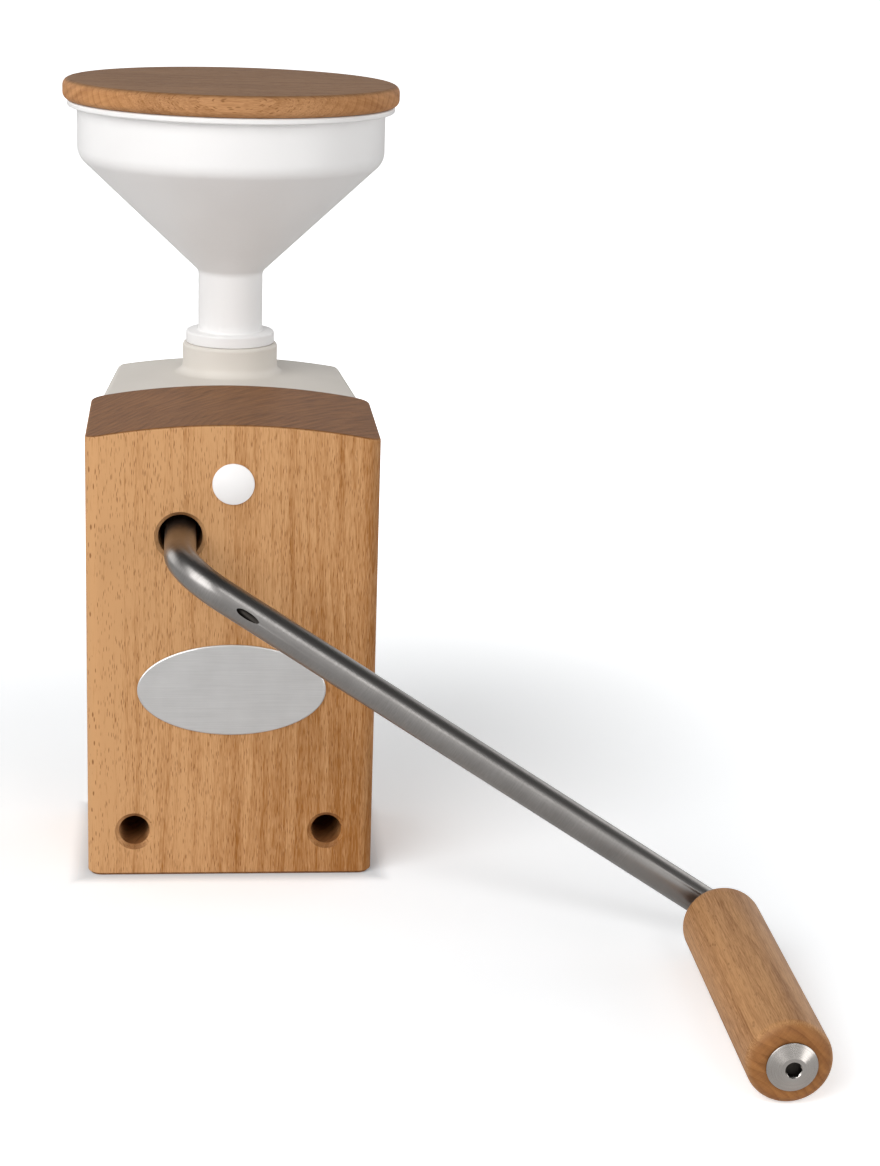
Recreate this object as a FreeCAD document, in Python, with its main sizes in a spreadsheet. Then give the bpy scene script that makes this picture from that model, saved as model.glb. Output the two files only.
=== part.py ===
import FreeCAD, Part
import Sketcher
import math
import os

# Hand crank grain flaker: a beech block carries a roller unit behind it, under a moulded housing
# with a collar, a funnel with a wooden lid, and a bent rod crank with a turned wooden grip.
# Frame: X to the right, Y to the rear, Z up, origin at the centre of the block's base.
# Lengths are in millimetres, angles in degrees.

SIZES = {
    # Wooden block
    "block_width": 112.0,
    "block_depth": 74.0,
    "block_above_crank": 38.2,
    "arch_rise": 5.5,
    "block_edge_radius": 5.5,
    "base_edge_bevel": 1.2,
    # Crank hole and the recess behind it for the shaft coupling
    "crank_axis_height": 138.8,
    "crank_hole_diameter": 17.0,
    "crank_hole_chamfer": 1.4,
    "coupling_recess_diameter": 30.0,
    "coupling_recess_room": 11.0,
    # Two bores at the foot for the round pins of the table clamps
    "clamp_bore_diameter": 12.0,
    "clamp_bore_depth": 62.0,
    "clamp_bore_spacing": 75.5,
    "clamp_bore_height": 18.7,
    "clamp_bore_chamfer": 1.6,
    # Screw that draws the roller unit against the block, and the cap that hides it
    "unit_screw_rise": 20.9,
    "unit_screw_diameter": 6.0,
    "unit_screw_head_diameter": 10.0,
    "unit_screw_head_height": 6.0,
    "unit_screw_socket": 5.0,
    "unit_screw_hole_play": 0.5,
    "cap_diameter": 16.0,
    "cap_rise": 2.4,
    "cap_lip": 0.6,
    "cap_stem_diameter": 12.0,
    "cap_stem_length": 8.0,
    "cap_wall": 1.6,
    "cap_hole_depth": 26.0,
    # Oval plate on the front
    "badge_length": 73.0,
    "badge_width": 36.7,
    "badge_thickness": 0.8,
    "badge_height": 77.5,
    # Gears
    "gear_module": 2.0,
    "gear_teeth": 20,
    "gear_width": 8.0,
    "gear_thinning": 0.3,
    "gear_pressure_angle": 20.0,
    # Rollers
    "nip_gap": 0.6,
    "roller_length": 37.5,
    "roller_chamfer": 1.0,
    "flute_count": 36,
    "flute_depth": 0.8,
    "flute_width": 2.0,
    "journal_play": 0.05,
    "driven_end_recess": 1.0,
    "end_float": 0.5,
    # Bearing plates and bushes
    "plate_thickness": 5.0,
    "plate_side_margin": 2.3,
    "plate_drop": 41.8,
    "plate_rise": 32.2,
    "plate_corner_radius": 6.0,
    "bush_wall": 2.0,
    "bush_flange_diameter": 20.0,
    "bush_flange_thickness": 1.5,
    # Upper spacer rods and the screws of the unit
    "spacer_diameter": 8.0,
    "spacer_side_inset": 5.0,
    "spacer_top_inset": 7.0,
    "tie_screw_diameter": 4.0,
    "tie_screw_length": 14.0,
    "tie_screw_head_diameter": 7.6,
    "wood_screw_length": 30.0,
    "wood_screw_side": 22.0,
    "wood_screw_inset": 9.0,
    # Scrapers under the rollers
    "scraper_contact_angle": 100.0,
    "scraper_slope": 22.0,
    "scraper_gap": 0.3,
    "scraper_length": 27.0,
    "scraper_thickness": 0.8,
    "scraper_bar_width": 12.0,
    "scraper_bar_height": 8.0,
    "scraper_screw_diameter": 3.0,
    "scraper_screw_length": 6.0,
    "scraper_screw_spacing": 16.0,
    # Coupling between the crank rod and the driven end of the roller shaft
    "coupling_diameter": 22.0,
    "coupling_length": 28.0,
    "coupling_back_gap": 1.0,
    "coupling_bore_play": 0.02,
    "shaft_gap": 2.0,
    "coupling_pin_diameter": 4.0,
    "coupling_pin_inset": 7.0,
    # Moulded housing
    "housing_side_gap": 2.5,
    "housing_flare": 5.0,
    "housing_wall": 3.0,
    "housing_drop": 0.3,
    "housing_skirt": 5.0,
    "housing_edge_radius": 4.0,
    "housing_boss_height": 1.0,
    "housing_boss_diameter": 9.0,
    "housing_screw_diameter": 4.0,
    "housing_screw_length": 8.0,
    "housing_screw_head_diameter": 7.5,
    "housing_screw_head_height": 2.4,
    "housing_screw_play": 0.15,
    "housing_screw_side": 22.0,
    "housing_screw_top_inset": 7.0,
    "housing_screw_foot_inset": 9.0,
    "collar_diameter": 39.2,
    "collar_bore": 31.0,
    "collar_height": 11.9,
    "collar_rim_radius": 1.5,
    "collar_fillet": 3.5,
    # Feed chute between the collar and the rollers
    "chute_flange_thickness": 2.5,
    "chute_flange_margin": 4.0,
    "chute_neck_play": 0.3,
    "chute_neck_gap": 0.7,
    "chute_mouth_half_width": 17.0,
    "chute_foot_half_width": 6.5,
    "chute_roller_gap": 0.6,
    "chute_wall": 2.0,
    "chute_end_gap": 1.0,
    # Funnel
    "funnel_seat_gap": 0.1,
    "funnel_flange_diameter": 36.5,
    "funnel_flange_height": 4.8,
    "funnel_flange_edge": 0.8,
    "funnel_spigot_play": 0.3,
    "funnel_spigot_length": 10.0,
    "funnel_stem_diameter": 26.5,
    "funnel_stem_wall": 2.05,
    "funnel_stem_length": 24.8,
    "funnel_cone_angle": 43.5,
    "funnel_bowl_diameter": 124.8,
    "funnel_bowl_height": 21.96,
    "funnel_rim_overhang": 3.85,
    "funnel_rim_depth": 2.4,
    "funnel_wall": 2.2,
    "funnel_shoulder_radius": 8.0,
    "funnel_throat_radius": 3.5,
    # Lid
    "lid_seat_gap": 0.1,
    "lid_overhang": 1.75,
    "lid_thickness": 8.4,
    "lid_edge_radius": 2.8,
    "lid_spigot_depth": 4.0,
    "lid_spigot_play": 1.0,
    # Crank rod
    "rod_diameter": 12.0,
    "rod_reach": 24.6,
    "rod_bend_radius": 20.7,
    "rod_lean": 7.0,
    "rod_slope": 31.8,
    "rod_straight": 218.3,
    "rod_end_overhang": 8.0,
    "rod_end_bevel": 1.2,
    "dimple_diameter": 3.2,
    "dimple_depth": 2.2,
    "dimple_slope": 24.0,
    "dimple_place": 17.0,
    # Grip and its shoulder bolt
    "seat_depth": 4.0,
    "seat_diameter": 20.0,
    "grip_spacer_diameter": 14.0,
    "grip_spacer_length": 5.2,
    "grip_gap": 0.3,
    "grip_diameter": 29.4,
    "grip_length": 116.3,
    "grip_root_radius": 6.0,
    "grip_tip_radius": 4.5,
    "grip_bore_play": 0.08,
    "bolt_shoulder_diameter": 8.0,
    "bolt_thread_diameter": 6.0,
    "bolt_thread_length": 9.0,
    "bolt_head_diameter": 17.4,
    "bolt_head_edge": 0.8,
    "bolt_head_height": 3.0,
    "bolt_head_flat": 8.4,
    "bolt_socket": 5.0,
    "bolt_socket_depth": 2.4,
}

TOLERANCE = 0.01
doc = FreeCAD.newDocument("grain_flaker")
sheet = doc.addObject("Spreadsheet::Sheet", "sizes")
for row, (alias, number) in enumerate(SIZES.items(), start=1):
    sheet.set("A%d" % row, alias.replace("_", " "))
    sheet.set("B%d" % row, str(number))
    sheet.setAlias("B%d" % row, alias)
doc.recompute()


class Size:
    """A number kept together with the sheet expression that gives it."""

    def __init__(self, value, text):
        self.value = value
        self.text = text

    def __add__(self, other):
        return Size(self.value + value_of(other), "(%s + %s)" % (self.text, text_of(other)))

    def __radd__(self, other):
        return Size(value_of(other) + self.value, "(%s + %s)" % (text_of(other), self.text))

    def __sub__(self, other):
        return Size(self.value - value_of(other), "(%s - %s)" % (self.text, text_of(other)))

    def __rsub__(self, other):
        return Size(value_of(other) - self.value, "(%s - %s)" % (text_of(other), self.text))

    def __mul__(self, other):
        return Size(self.value * value_of(other), "(%s * %s)" % (self.text, text_of(other)))

    def __rmul__(self, other):
        return Size(value_of(other) * self.value, "(%s * %s)" % (text_of(other), self.text))

    def __truediv__(self, other):
        return Size(self.value / value_of(other), "(%s / %s)" % (self.text, text_of(other)))

    def __neg__(self):
        return Size(-self.value, "(-1 * %s)" % self.text)


def value_of(item):
    """The plain number of a size or a number."""
    return item.value if isinstance(item, Size) else float(item)


def text_of(item):
    """The expression text of a size or a number."""
    return item.text if isinstance(item, Size) else repr(float(item))


def root(item):
    """Square root of a size."""
    return Size(math.sqrt(item.value), "sqrt(%s)" % item.text)


def sine(item):
    """Sine of an angle in degrees."""
    return Size(math.sin(math.radians(value_of(item))), "sin(%s)" % text_of(item))


def cosine(item):
    """Cosine of an angle in degrees."""
    return Size(math.cos(math.radians(value_of(item))), "cos(%s)" % text_of(item))


def tangent(item):
    """Tangent of an angle in degrees."""
    return sine(item) / cosine(item)


class Sizes:
    """Reads the sheet's cells by their aliases."""

    def __getattr__(self, alias):
        return Size(float(sheet.get(alias)), "sizes." + alias)


d = Sizes()


# Places that several pieces share, worked out from the driving sizes

block_front = -d.block_depth / 2
block_back = d.block_depth / 2
block_half = d.block_width / 2
arch_radius = (block_half * block_half + d.arch_rise * d.arch_rise) / (2 * d.arch_rise)
block_side = d.crank_axis_height + d.block_above_crank
block_crown = block_side + d.arch_rise
unit_screw_z = d.crank_axis_height + d.unit_screw_rise

roller_spacing = d.gear_module * d.gear_teeth
roller_side = roller_spacing / 2
roller_diameter = roller_spacing - d.nip_gap
roller_radius = roller_diameter / 2
journal_radius = d.rod_diameter / 2

plate_half_width = roller_side + roller_radius + d.plate_side_margin
plate_bottom = d.crank_axis_height - d.plate_drop
plate_top = d.crank_axis_height + d.plate_rise
spacer_side = plate_half_width - d.spacer_side_inset
spacer_z = plate_top - d.spacer_top_inset
wood_screw_z = plate_bottom + d.wood_screw_inset
plate_inner = block_back + d.plate_thickness
gear_front = plate_inner + d.bush_flange_thickness + d.end_float
roller_front = gear_front + d.gear_width
roller_back = roller_front + d.roller_length
feed_axis = roller_front + d.roller_length / 2
rear_flange_front = roller_back + d.end_float
rear_plate_front = rear_flange_front + d.bush_flange_thickness
rear_plate_back = rear_plate_front + d.plate_thickness
unit_middle = (plate_inner + rear_plate_front) / 2

housing_bottom = plate_bottom - d.housing_skirt
housing_back_half = plate_half_width + d.housing_side_gap + d.housing_wall
housing_front_half = housing_back_half + d.housing_flare
housing_inner_back = rear_plate_back + d.housing_boss_height
housing_back = housing_inner_back + d.housing_wall
housing_crown = block_crown - d.housing_drop
collar_top = housing_crown + d.collar_height
funnel_seat = collar_top + d.funnel_seat_gap
funnel_foot = funnel_seat - d.funnel_spigot_length
funnel_flange_top = funnel_seat + d.funnel_flange_height
cone_foot = funnel_flange_top + d.funnel_stem_length
cone_top = cone_foot + (d.funnel_bowl_diameter - d.funnel_stem_diameter) / 2 * tangent(d.funnel_cone_angle)
funnel_top = cone_top + d.funnel_bowl_height
funnel_rim_radius = d.funnel_bowl_diameter / 2 + d.funnel_rim_overhang
lid_seat = funnel_top + d.lid_seat_gap

coupling_back = block_back - d.coupling_back_gap
coupling_front = coupling_back - d.coupling_length
coupling_middle = (coupling_front + coupling_back) / 2
rod_inner_end = coupling_middle - d.shaft_gap / 2
shaft_front = coupling_middle + d.shaft_gap / 2
shaft_pin_y = coupling_back - d.coupling_pin_inset
rod_pin_y = coupling_front + d.coupling_pin_inset
bend_start = block_front - d.rod_reach
crank_radius = d.rod_bend_radius * (1 - sine(d.rod_lean)) + d.rod_straight * cosine(d.rod_lean)
rod_end_depth = bend_start - d.rod_bend_radius * cosine(d.rod_lean) - d.rod_straight * sine(d.rod_lean)
grip_x = crank_radius * cosine(d.rod_slope) - roller_side
grip_z = d.crank_axis_height - crank_radius * sine(d.rod_slope)
seat_y = rod_end_depth - d.seat_depth
grip_root_y = seat_y - d.grip_spacer_length - d.grip_gap
grip_tip_y = grip_root_y - d.grip_length
bolt_seat_y = grip_tip_y - d.grip_gap


# Helpers for bodies, sketches and features

TO_FRONT = FreeCAD.Rotation(FreeCAD.Vector(1, 0, 0), 90)
TO_REAR = FreeCAD.Rotation(FreeCAD.Vector(1, 0, 0), -90)
CRANK_SLOPE = FreeCAD.Rotation(FreeCAD.Vector(0, 1, 0), d.rod_slope.value)
CRANK_TO_FRONT = CRANK_SLOPE * TO_FRONT
UPRIGHT = FreeCAD.Rotation()
nodes = []


def bind(item, path, size):
    """Give a property its expression."""
    item.setExpression(path, text_of(size))


def new_body(label, place=None, turn=UPRIGHT):
    """Start a body. place is the point that its own origin has in the model."""
    body = doc.addObject("PartDesign::Body", label)
    body.Label = label
    nodes.append(body)
    if place is not None:
        body.Placement = FreeCAD.Placement(FreeCAD.Vector(*[value_of(one) for one in place]), turn)
        for axis, size in zip("xyz", place):
            bind(body, "Placement.Base." + axis, size)
    return body


def new_sketch(body, name, role, offset=None):
    """Start a sketch on one of the body's own origin planes, moved along the plane's normal."""
    planes = [one for one in body.Origin.OriginFeatures if one.Role == role]
    sketch = body.newObject("Sketcher::SketchObject", name)
    sketch.AttachmentSupport = (planes[0], [""])
    sketch.MapMode = "FlatFace"
    if offset is not None:
        bind(sketch, "AttachmentOffset.Base.z", offset)
    return sketch


def pin_down(sketch, kind, geometry, corner, size):
    """Fix one coordinate of a corner, measured from the sketch's origin."""
    made = Sketcher.Constraint(kind, -1, 1, geometry, corner, value_of(size))
    index = sketch.addConstraint(made)
    name = "%s_%d_%d" % (kind, geometry, corner)
    sketch.renameConstraint(index, name)
    bind(sketch, "Constraints." + name, size)


def set_radius(sketch, geometry, size):
    """Fix the radius of an arc or a circle."""
    index = sketch.addConstraint(Sketcher.Constraint("Radius", geometry, value_of(size)))
    name = "radius_%d" % geometry
    sketch.renameConstraint(index, name)
    bind(sketch, "Constraints." + name, size)


def arc_between(start, end, radius):
    """Arc from start to end. A positive radius turns to the left, a negative one to the right."""
    chord = end - start
    middle = (start + end) / 2
    left = FreeCAD.Vector(-chord.y, chord.x, 0).normalize()
    height = math.sqrt(max(radius * radius - (chord.Length / 2) ** 2, 0))
    centre = middle + left * height * math.copysign(1, radius)
    circle = Part.Circle(centre, FreeCAD.Vector(0, 0, 1), abs(radius))
    ends = (start, end) if radius > 0 else (end, start)
    angles = [math.atan2(one.y - centre.y, one.x - centre.x) for one in ends]
    return Part.ArcOfCircle(circle, angles[0], angles[1])


def draw(sketch, corners, closed=True):
    """Draw a chain through corners (x, y), or (x, y, radius) where an arc arrives at the corner."""
    spots = [FreeCAD.Vector(value_of(one[0]), value_of(one[1]), 0) for one in corners]
    count = len(corners) if closed else len(corners) - 1
    first = sketch.GeometryCount
    ends = []
    for index in range(count):
        target = (index + 1) % len(corners)
        if len(corners[target]) == 3:
            radius = corners[target][2]
            added = sketch.addGeometry(arc_between(spots[index], spots[target], value_of(radius)))
            turns_left = value_of(radius) > 0
            ends.append((1, 2) if turns_left else (2, 1))
            set_radius(sketch, added, radius if turns_left else -radius)
        else:
            sketch.addGeometry(Part.LineSegment(spots[index], spots[target]))
            ends.append((1, 2))
        pin_down(sketch, "DistanceX", first + index, ends[-1][0], corners[index][0])
        pin_down(sketch, "DistanceY", first + index, ends[-1][0], corners[index][1])
    for index in range(count if closed else count - 1):
        after = (index + 1) % count
        joined = Sketcher.Constraint(
            "Coincident", first + index, ends[index][1], first + after, ends[after][0])
        sketch.addConstraint(joined)
    if not closed:
        pin_down(sketch, "DistanceX", first + count - 1, ends[-1][1], corners[-1][0])
        pin_down(sketch, "DistanceY", first + count - 1, ends[-1][1], corners[-1][1])


def circle(sketch, x, y, radius):
    """Draw a circle."""
    centre = FreeCAD.Vector(value_of(x), value_of(y), 0)
    added = sketch.addGeometry(Part.Circle(centre, FreeCAD.Vector(0, 0, 1), value_of(radius)))
    pin_down(sketch, "DistanceX", added, 3, x)
    pin_down(sketch, "DistanceY", added, 3, y)
    set_radius(sketch, added, radius)


def hexagon(sketch, across_flats):
    """Draw a hexagon about the sketch's origin."""
    reach = across_flats / math.sqrt(3)
    corners = []
    for step in range(6):
        angle = math.radians(60 * step)
        corners.append((reach * math.cos(angle), reach * math.sin(angle)))
    draw(sketch, corners)


def pad(body, sketch, length, name="pad"):
    """Grow the sketch along its normal."""
    feature = body.newObject("PartDesign::Pad", name)
    feature.Profile = sketch
    bind(feature, "Length", length)
    doc.recompute()
    return feature


def pocket(body, sketch, length=None, along_normal=False, name="pocket"):
    """Cut the sketch into the body, against its normal unless along_normal; no length goes through."""
    before = body.Tip.Shape.Volume
    feature = body.newObject("PartDesign::Pocket", name)
    feature.Profile = sketch
    feature.Reversed = along_normal
    if length is None:
        feature.Type = "ThroughAll"
    else:
        bind(feature, "Length", length)
    doc.recompute()
    if feature.Shape.Volume > before - TOLERANCE:
        raise RuntimeError("%s cuts nothing in %s" % (name, body.Label))
    return feature


def revolve(body, sketch, name="turned"):
    """Turn the sketch about its own vertical axis."""
    feature = body.newObject("PartDesign::Revolution", name)
    feature.Profile = sketch
    feature.ReferenceAxis = (sketch, ["V_Axis"])
    feature.Angle = 360
    doc.recompute()
    return feature


def edge_names(feature, test):
    """Names of the edges that pass the test."""
    names = []
    for index, edge in enumerate(feature.Shape.Edges):
        if not edge.Degenerated and test(edge):
            names.append("Edge%d" % (index + 1))
    return names


def dress(body, kind, prop, size, test, name):
    """Round or bevel the edges that pass the test."""
    base = body.Tip
    names = edge_names(base, test)
    if not names:
        raise RuntimeError("%s finds no edge in %s" % (name, body.Label))
    feature = body.newObject("PartDesign::" + kind, name)
    feature.Base = (base, names)
    bind(feature, prop, size)
    doc.recompute()
    return feature


def fillet(body, size, test, name="rounding"):
    """Round edges."""
    return dress(body, "Fillet", "Radius", size, test, name)


def chamfer(body, size, test, name="bevel"):
    """Bevel edges."""
    return dress(body, "Chamfer", "Size", size, test, name)


def near(number, size):
    """True where a number equals a size."""
    return abs(number - value_of(size)) < TOLERANCE


def is_circle(edge, radius):
    """True for a round edge of this radius."""
    return edge.Curve.TypeId == "Part::GeomCircle" and near(edge.Curve.Radius, radius)


def is_line_along(edge, axis):
    """True for a straight edge along a direction."""
    return edge.Curve.TypeId == "Part::GeomLine" and abs(abs(edge.Curve.Direction.dot(axis)) - 1) < TOLERANCE


def turned_body(label, corners, place, turn=TO_FRONT):
    """A piece turned from a profile in (radius, height) about its own axis."""
    body = new_body(label, place, turn)
    sketch = new_sketch(body, label + "_profile", "XZ_Plane")
    draw(sketch, corners)
    revolve(body, sketch)
    return body


def rounded_corner(x, y, heading, turn, radius, steps=3):
    """Points of a rounding, which is a run of short straight bands on its circle.

    The profile comes to the corner at the angle heading and leaves it turned by turn, to the left
    where turn is above zero. The rounding starts radius * tan(turn / 2) before the corner, its
    centre lies one radius to the side of the turn, and its points stand at even angles.
    """
    side = math.copysign(1, value_of(turn))
    setback = side * radius * tangent(turn / 2)
    centre_x = x - setback * cosine(heading) - side * radius * sine(heading)
    centre_y = y - setback * sine(heading) + side * radius * cosine(heading)
    points = []
    for step in range(steps + 1):
        angle = heading + turn * step / steps
        points.append((centre_x + side * radius * sine(angle), centre_y - side * radius * cosine(angle)))
    return points


def arch_height(crown, half_width):
    """Height of the arch's curve at a distance from the middle."""
    return crown - arch_radius + root(arch_radius * arch_radius - half_width * half_width)


# Wooden block

def make_block():
    """Beech block with its arched top, crank hole, screw hole and clamp bores."""
    body = new_body("wooden_block")
    outline = new_sketch(body, "block_outline", "XZ_Plane", -block_back)
    draw(outline, [
        (-block_half, 0),
        (block_half, 0),
        (block_half, block_side),
        (-block_half, block_side, arch_radius)])
    pad(body, outline, d.block_depth)
    up = FreeCAD.Vector(0, 0, 1)
    fillet(body, d.block_edge_radius, lambda edge: is_line_along(edge, up), "upright_edges")
    chamfer(body, d.base_edge_bevel, lambda edge: edge.CenterOfMass.z < TOLERANCE, "base_edges")

    hole = new_sketch(body, "crank_hole_outline", "XZ_Plane", -block_front)
    circle(hole, -roller_side, d.crank_axis_height, d.crank_hole_diameter / 2)
    pocket(body, hole, name="crank_hole")
    recess = new_sketch(body, "coupling_recess_outline", "XZ_Plane", -block_back)
    circle(recess, -roller_side, d.crank_axis_height, d.coupling_recess_diameter / 2)
    depth = block_back - coupling_front + d.coupling_recess_room
    pocket(body, recess, depth, along_normal=True, name="coupling_recess")

    cap_hole = new_sketch(body, "cap_hole_outline", "XZ_Plane", -block_front)
    circle(cap_hole, 0, unit_screw_z, d.cap_stem_diameter / 2)
    pocket(body, cap_hole, d.cap_hole_depth, name="cap_hole")
    screw_hole = new_sketch(body, "screw_hole_outline", "XZ_Plane", -block_front)
    circle(screw_hole, 0, unit_screw_z, d.unit_screw_diameter / 2 + d.unit_screw_hole_play)
    pocket(body, screw_hole, name="screw_hole")

    foot = new_sketch(body, "clamp_bore_outline", "XZ_Plane", -block_front)
    for side in (-1, 1):
        circle(foot, side * d.clamp_bore_spacing / 2, d.clamp_bore_height, d.clamp_bore_diameter / 2)
    pocket(body, foot, d.clamp_bore_depth, name="clamp_bores")
    wood_screws = new_sketch(body, "wood_screw_outline", "XZ_Plane", -block_back)
    for side in (-1, 1):
        circle(wood_screws, side * d.wood_screw_side, wood_screw_z, d.tie_screw_diameter / 2)
    pocket(body, wood_screws, d.wood_screw_length, along_normal=True, name="wood_screw_holes")

    def on_front(edge, diameter):
        return is_circle(edge, diameter / 2) and near(edge.CenterOfMass.y, block_front)

    chamfer(body, d.crank_hole_chamfer, lambda edge: on_front(edge, d.crank_hole_diameter), "crank_bevel")
    chamfer(body, d.clamp_bore_chamfer, lambda edge: on_front(edge, d.clamp_bore_diameter)
            and near(edge.CenterOfMass.z, d.clamp_bore_height), "clamp_bevel")


def make_cap():
    """Domed cap that plugs the screw hole: a crown of bands on a sphere over a hollow stem.

    At radius r the crown lies R - sqrt(R * R - r * r) below its top, where R is the sphere's radius.
    """
    rim = d.cap_diameter / 2
    stem = d.cap_stem_diameter / 2
    dome = d.cap_rise - d.cap_lip
    dome_radius = (rim * rim + dome * dome) / (2 * dome)
    crown = []
    for step in (3, 2, 1):
        reach = rim * step / 3
        crown.append((reach, d.cap_rise - dome_radius + root(dome_radius * dome_radius - reach * reach)))
    turned_body("cap_plug", [
        (0, 0),
        (stem - d.cap_wall, 0),
        (stem - d.cap_wall, -d.cap_stem_length),
        (stem, -d.cap_stem_length),
        (stem, 0),
        (rim, 0),
        *crown,
        (0, d.cap_rise)],
        (0, block_front, unit_screw_z))


def make_badge():
    """Bare oval plate on the front of the block."""
    oval = doc.addObject("Part::Ellipse", "badge_oval")
    bind(oval, "MajorRadius", d.badge_length / 2)
    bind(oval, "MinorRadius", d.badge_width / 2)
    plate = doc.addObject("Part::Extrusion", "badge_plate")
    plate.Label = "badge_plate"
    plate.Base = oval
    plate.Dir = FreeCAD.Vector(0, 0, 1)
    plate.DirMode = "Custom"
    plate.Solid = True
    bind(plate, "LengthFwd", d.badge_thickness)
    plate.Placement = FreeCAD.Placement(
        FreeCAD.Vector(0, block_front.value, d.badge_height.value), TO_FRONT)
    bind(plate, "Placement.Base.y", block_front)
    bind(plate, "Placement.Base.z", d.badge_height)
    nodes.append(plate)


def make_unit_screw():
    """Socket head screw from the cap hole through the block into the front plate."""
    head_seat = block_front + d.cap_hole_depth
    shank = d.unit_screw_diameter / 2
    head = d.unit_screw_head_diameter / 2
    body = turned_body("unit_screw", [
        (0, head_seat - plate_inner),
        (shank, head_seat - plate_inner),
        (shank, 0),
        (head, 0),
        (head, d.unit_screw_head_height),
        (0, d.unit_screw_head_height)],
        (0, head_seat, unit_screw_z))
    socket = new_sketch(body, "unit_screw_socket_outline", "XY_Plane", d.unit_screw_head_height)
    hexagon(socket, d.unit_screw_socket)
    pocket(body, socket, d.unit_screw_head_height / 2, name="socket")


# Bearing plates, bushes and spacers

def scraper_point(along, across):
    """Point on a scraper's section, along the blade from its tip and across it downwards."""
    lean = d.scraper_contact_angle
    reach = roller_radius + d.scraper_gap
    tip_x = roller_side + reach * cosine(lean)
    tip_z = d.crank_axis_height - reach * sine(lean)
    x = tip_x + along * cosine(d.scraper_slope) - across * sine(d.scraper_slope)
    z = tip_z - along * sine(d.scraper_slope) - across * cosine(d.scraper_slope)
    return x, z


bar_middle = d.scraper_length - d.scraper_bar_width / 2
bar_x, bar_z = scraper_point(bar_middle, d.scraper_thickness + d.scraper_bar_height / 2)
tie_spots = [(side * x, z) for side in (-1, 1) for x, z in ((spacer_side, spacer_z), (bar_x, bar_z))]
housing_spots = [(side * d.housing_screw_side, z)
                 for side in (-1, 1)
                 for z in (plate_top - d.housing_screw_top_inset, plate_bottom + d.housing_screw_foot_inset)]


def make_plate(label, back, holes, bevel_front):
    """Bearing plate with two bush bores, countersunk tie holes and further holes."""
    body = new_body(label)
    outline = new_sketch(body, label + "_outline", "XZ_Plane", -back)
    draw(outline, [
        (-plate_half_width, plate_bottom),
        (plate_half_width, plate_bottom),
        (plate_half_width, plate_top),
        (-plate_half_width, plate_top)])
    bush = journal_radius + d.journal_play + d.bush_wall
    for side in (-1, 1):
        circle(outline, side * roller_side, d.crank_axis_height, bush)
    for x, z in tie_spots:
        circle(outline, x, z, d.tie_screw_diameter / 2)
    for x, z, diameter in holes:
        circle(outline, x, z, diameter / 2)
    pad(body, outline, d.plate_thickness)
    rearward = FreeCAD.Vector(0, 1, 0)
    fillet(body, d.plate_corner_radius, lambda edge: is_line_along(edge, rearward), "plate_corners")
    face = back - d.plate_thickness if bevel_front else back
    spots = [(value_of(x), value_of(z)) for x, z in tie_spots]

    def is_tie_rim(edge):
        if not is_circle(edge, d.tie_screw_diameter / 2) or not near(edge.CenterOfMass.y, face):
            return False
        centre = edge.CenterOfMass
        return any(math.hypot(centre.x - x, centre.z - z) < TOLERANCE for x, z in spots)

    sink = (d.tie_screw_head_diameter - d.tie_screw_diameter) / 2
    chamfer(body, sink, is_tie_rim, "countersinks")
    return body


def make_front_plate():
    """Front plate, against the block, with the tapped hole and two wood screw holes."""
    holes = [(0, unit_screw_z, d.unit_screw_diameter)]
    for side in (-1, 1):
        holes.append((side * d.wood_screw_side, wood_screw_z, d.tie_screw_diameter))
    body = make_plate("front_plate", plate_inner, holes, True)
    sink = (d.tie_screw_head_diameter - d.tie_screw_diameter) / 2
    chamfer(body, sink, lambda edge: is_circle(edge, d.tie_screw_diameter / 2)
            and near(edge.CenterOfMass.y, plate_inner)
            and near(abs(edge.CenterOfMass.x), d.wood_screw_side)
            and near(edge.CenterOfMass.z, wood_screw_z), "wood_screw_countersinks")


def make_rear_plate():
    """Rear plate with four tapped holes for the housing screws."""
    holes = [(x, z, d.housing_screw_diameter) for x, z in housing_spots]
    make_plate("rear_plate", rear_plate_back, holes, False)


def make_bush(label, side, flange_y, turn):
    """Flanged plain bush; its flange lies on the inner side of its plate."""
    bore = journal_radius + d.journal_play
    sleeve = bore + d.bush_wall
    length = d.bush_flange_thickness + d.plate_thickness
    turned_body(label, [
        (bore, 0),
        (d.bush_flange_diameter / 2, 0),
        (d.bush_flange_diameter / 2, d.bush_flange_thickness),
        (sleeve, d.bush_flange_thickness),
        (sleeve, length),
        (bore, length)],
        (side * roller_side, flange_y, d.crank_axis_height), turn)


def make_spacer(label, side):
    """Spacer rod between the plates, tapped right through."""
    length = rear_plate_front - plate_inner
    turned_body(label, [
        (d.tie_screw_diameter / 2, 0),
        (d.spacer_diameter / 2, 0),
        (d.spacer_diameter / 2, length),
        (d.tie_screw_diameter / 2, length)],
        (side * spacer_side, rear_plate_front, spacer_z))


# Scrapers

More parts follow.
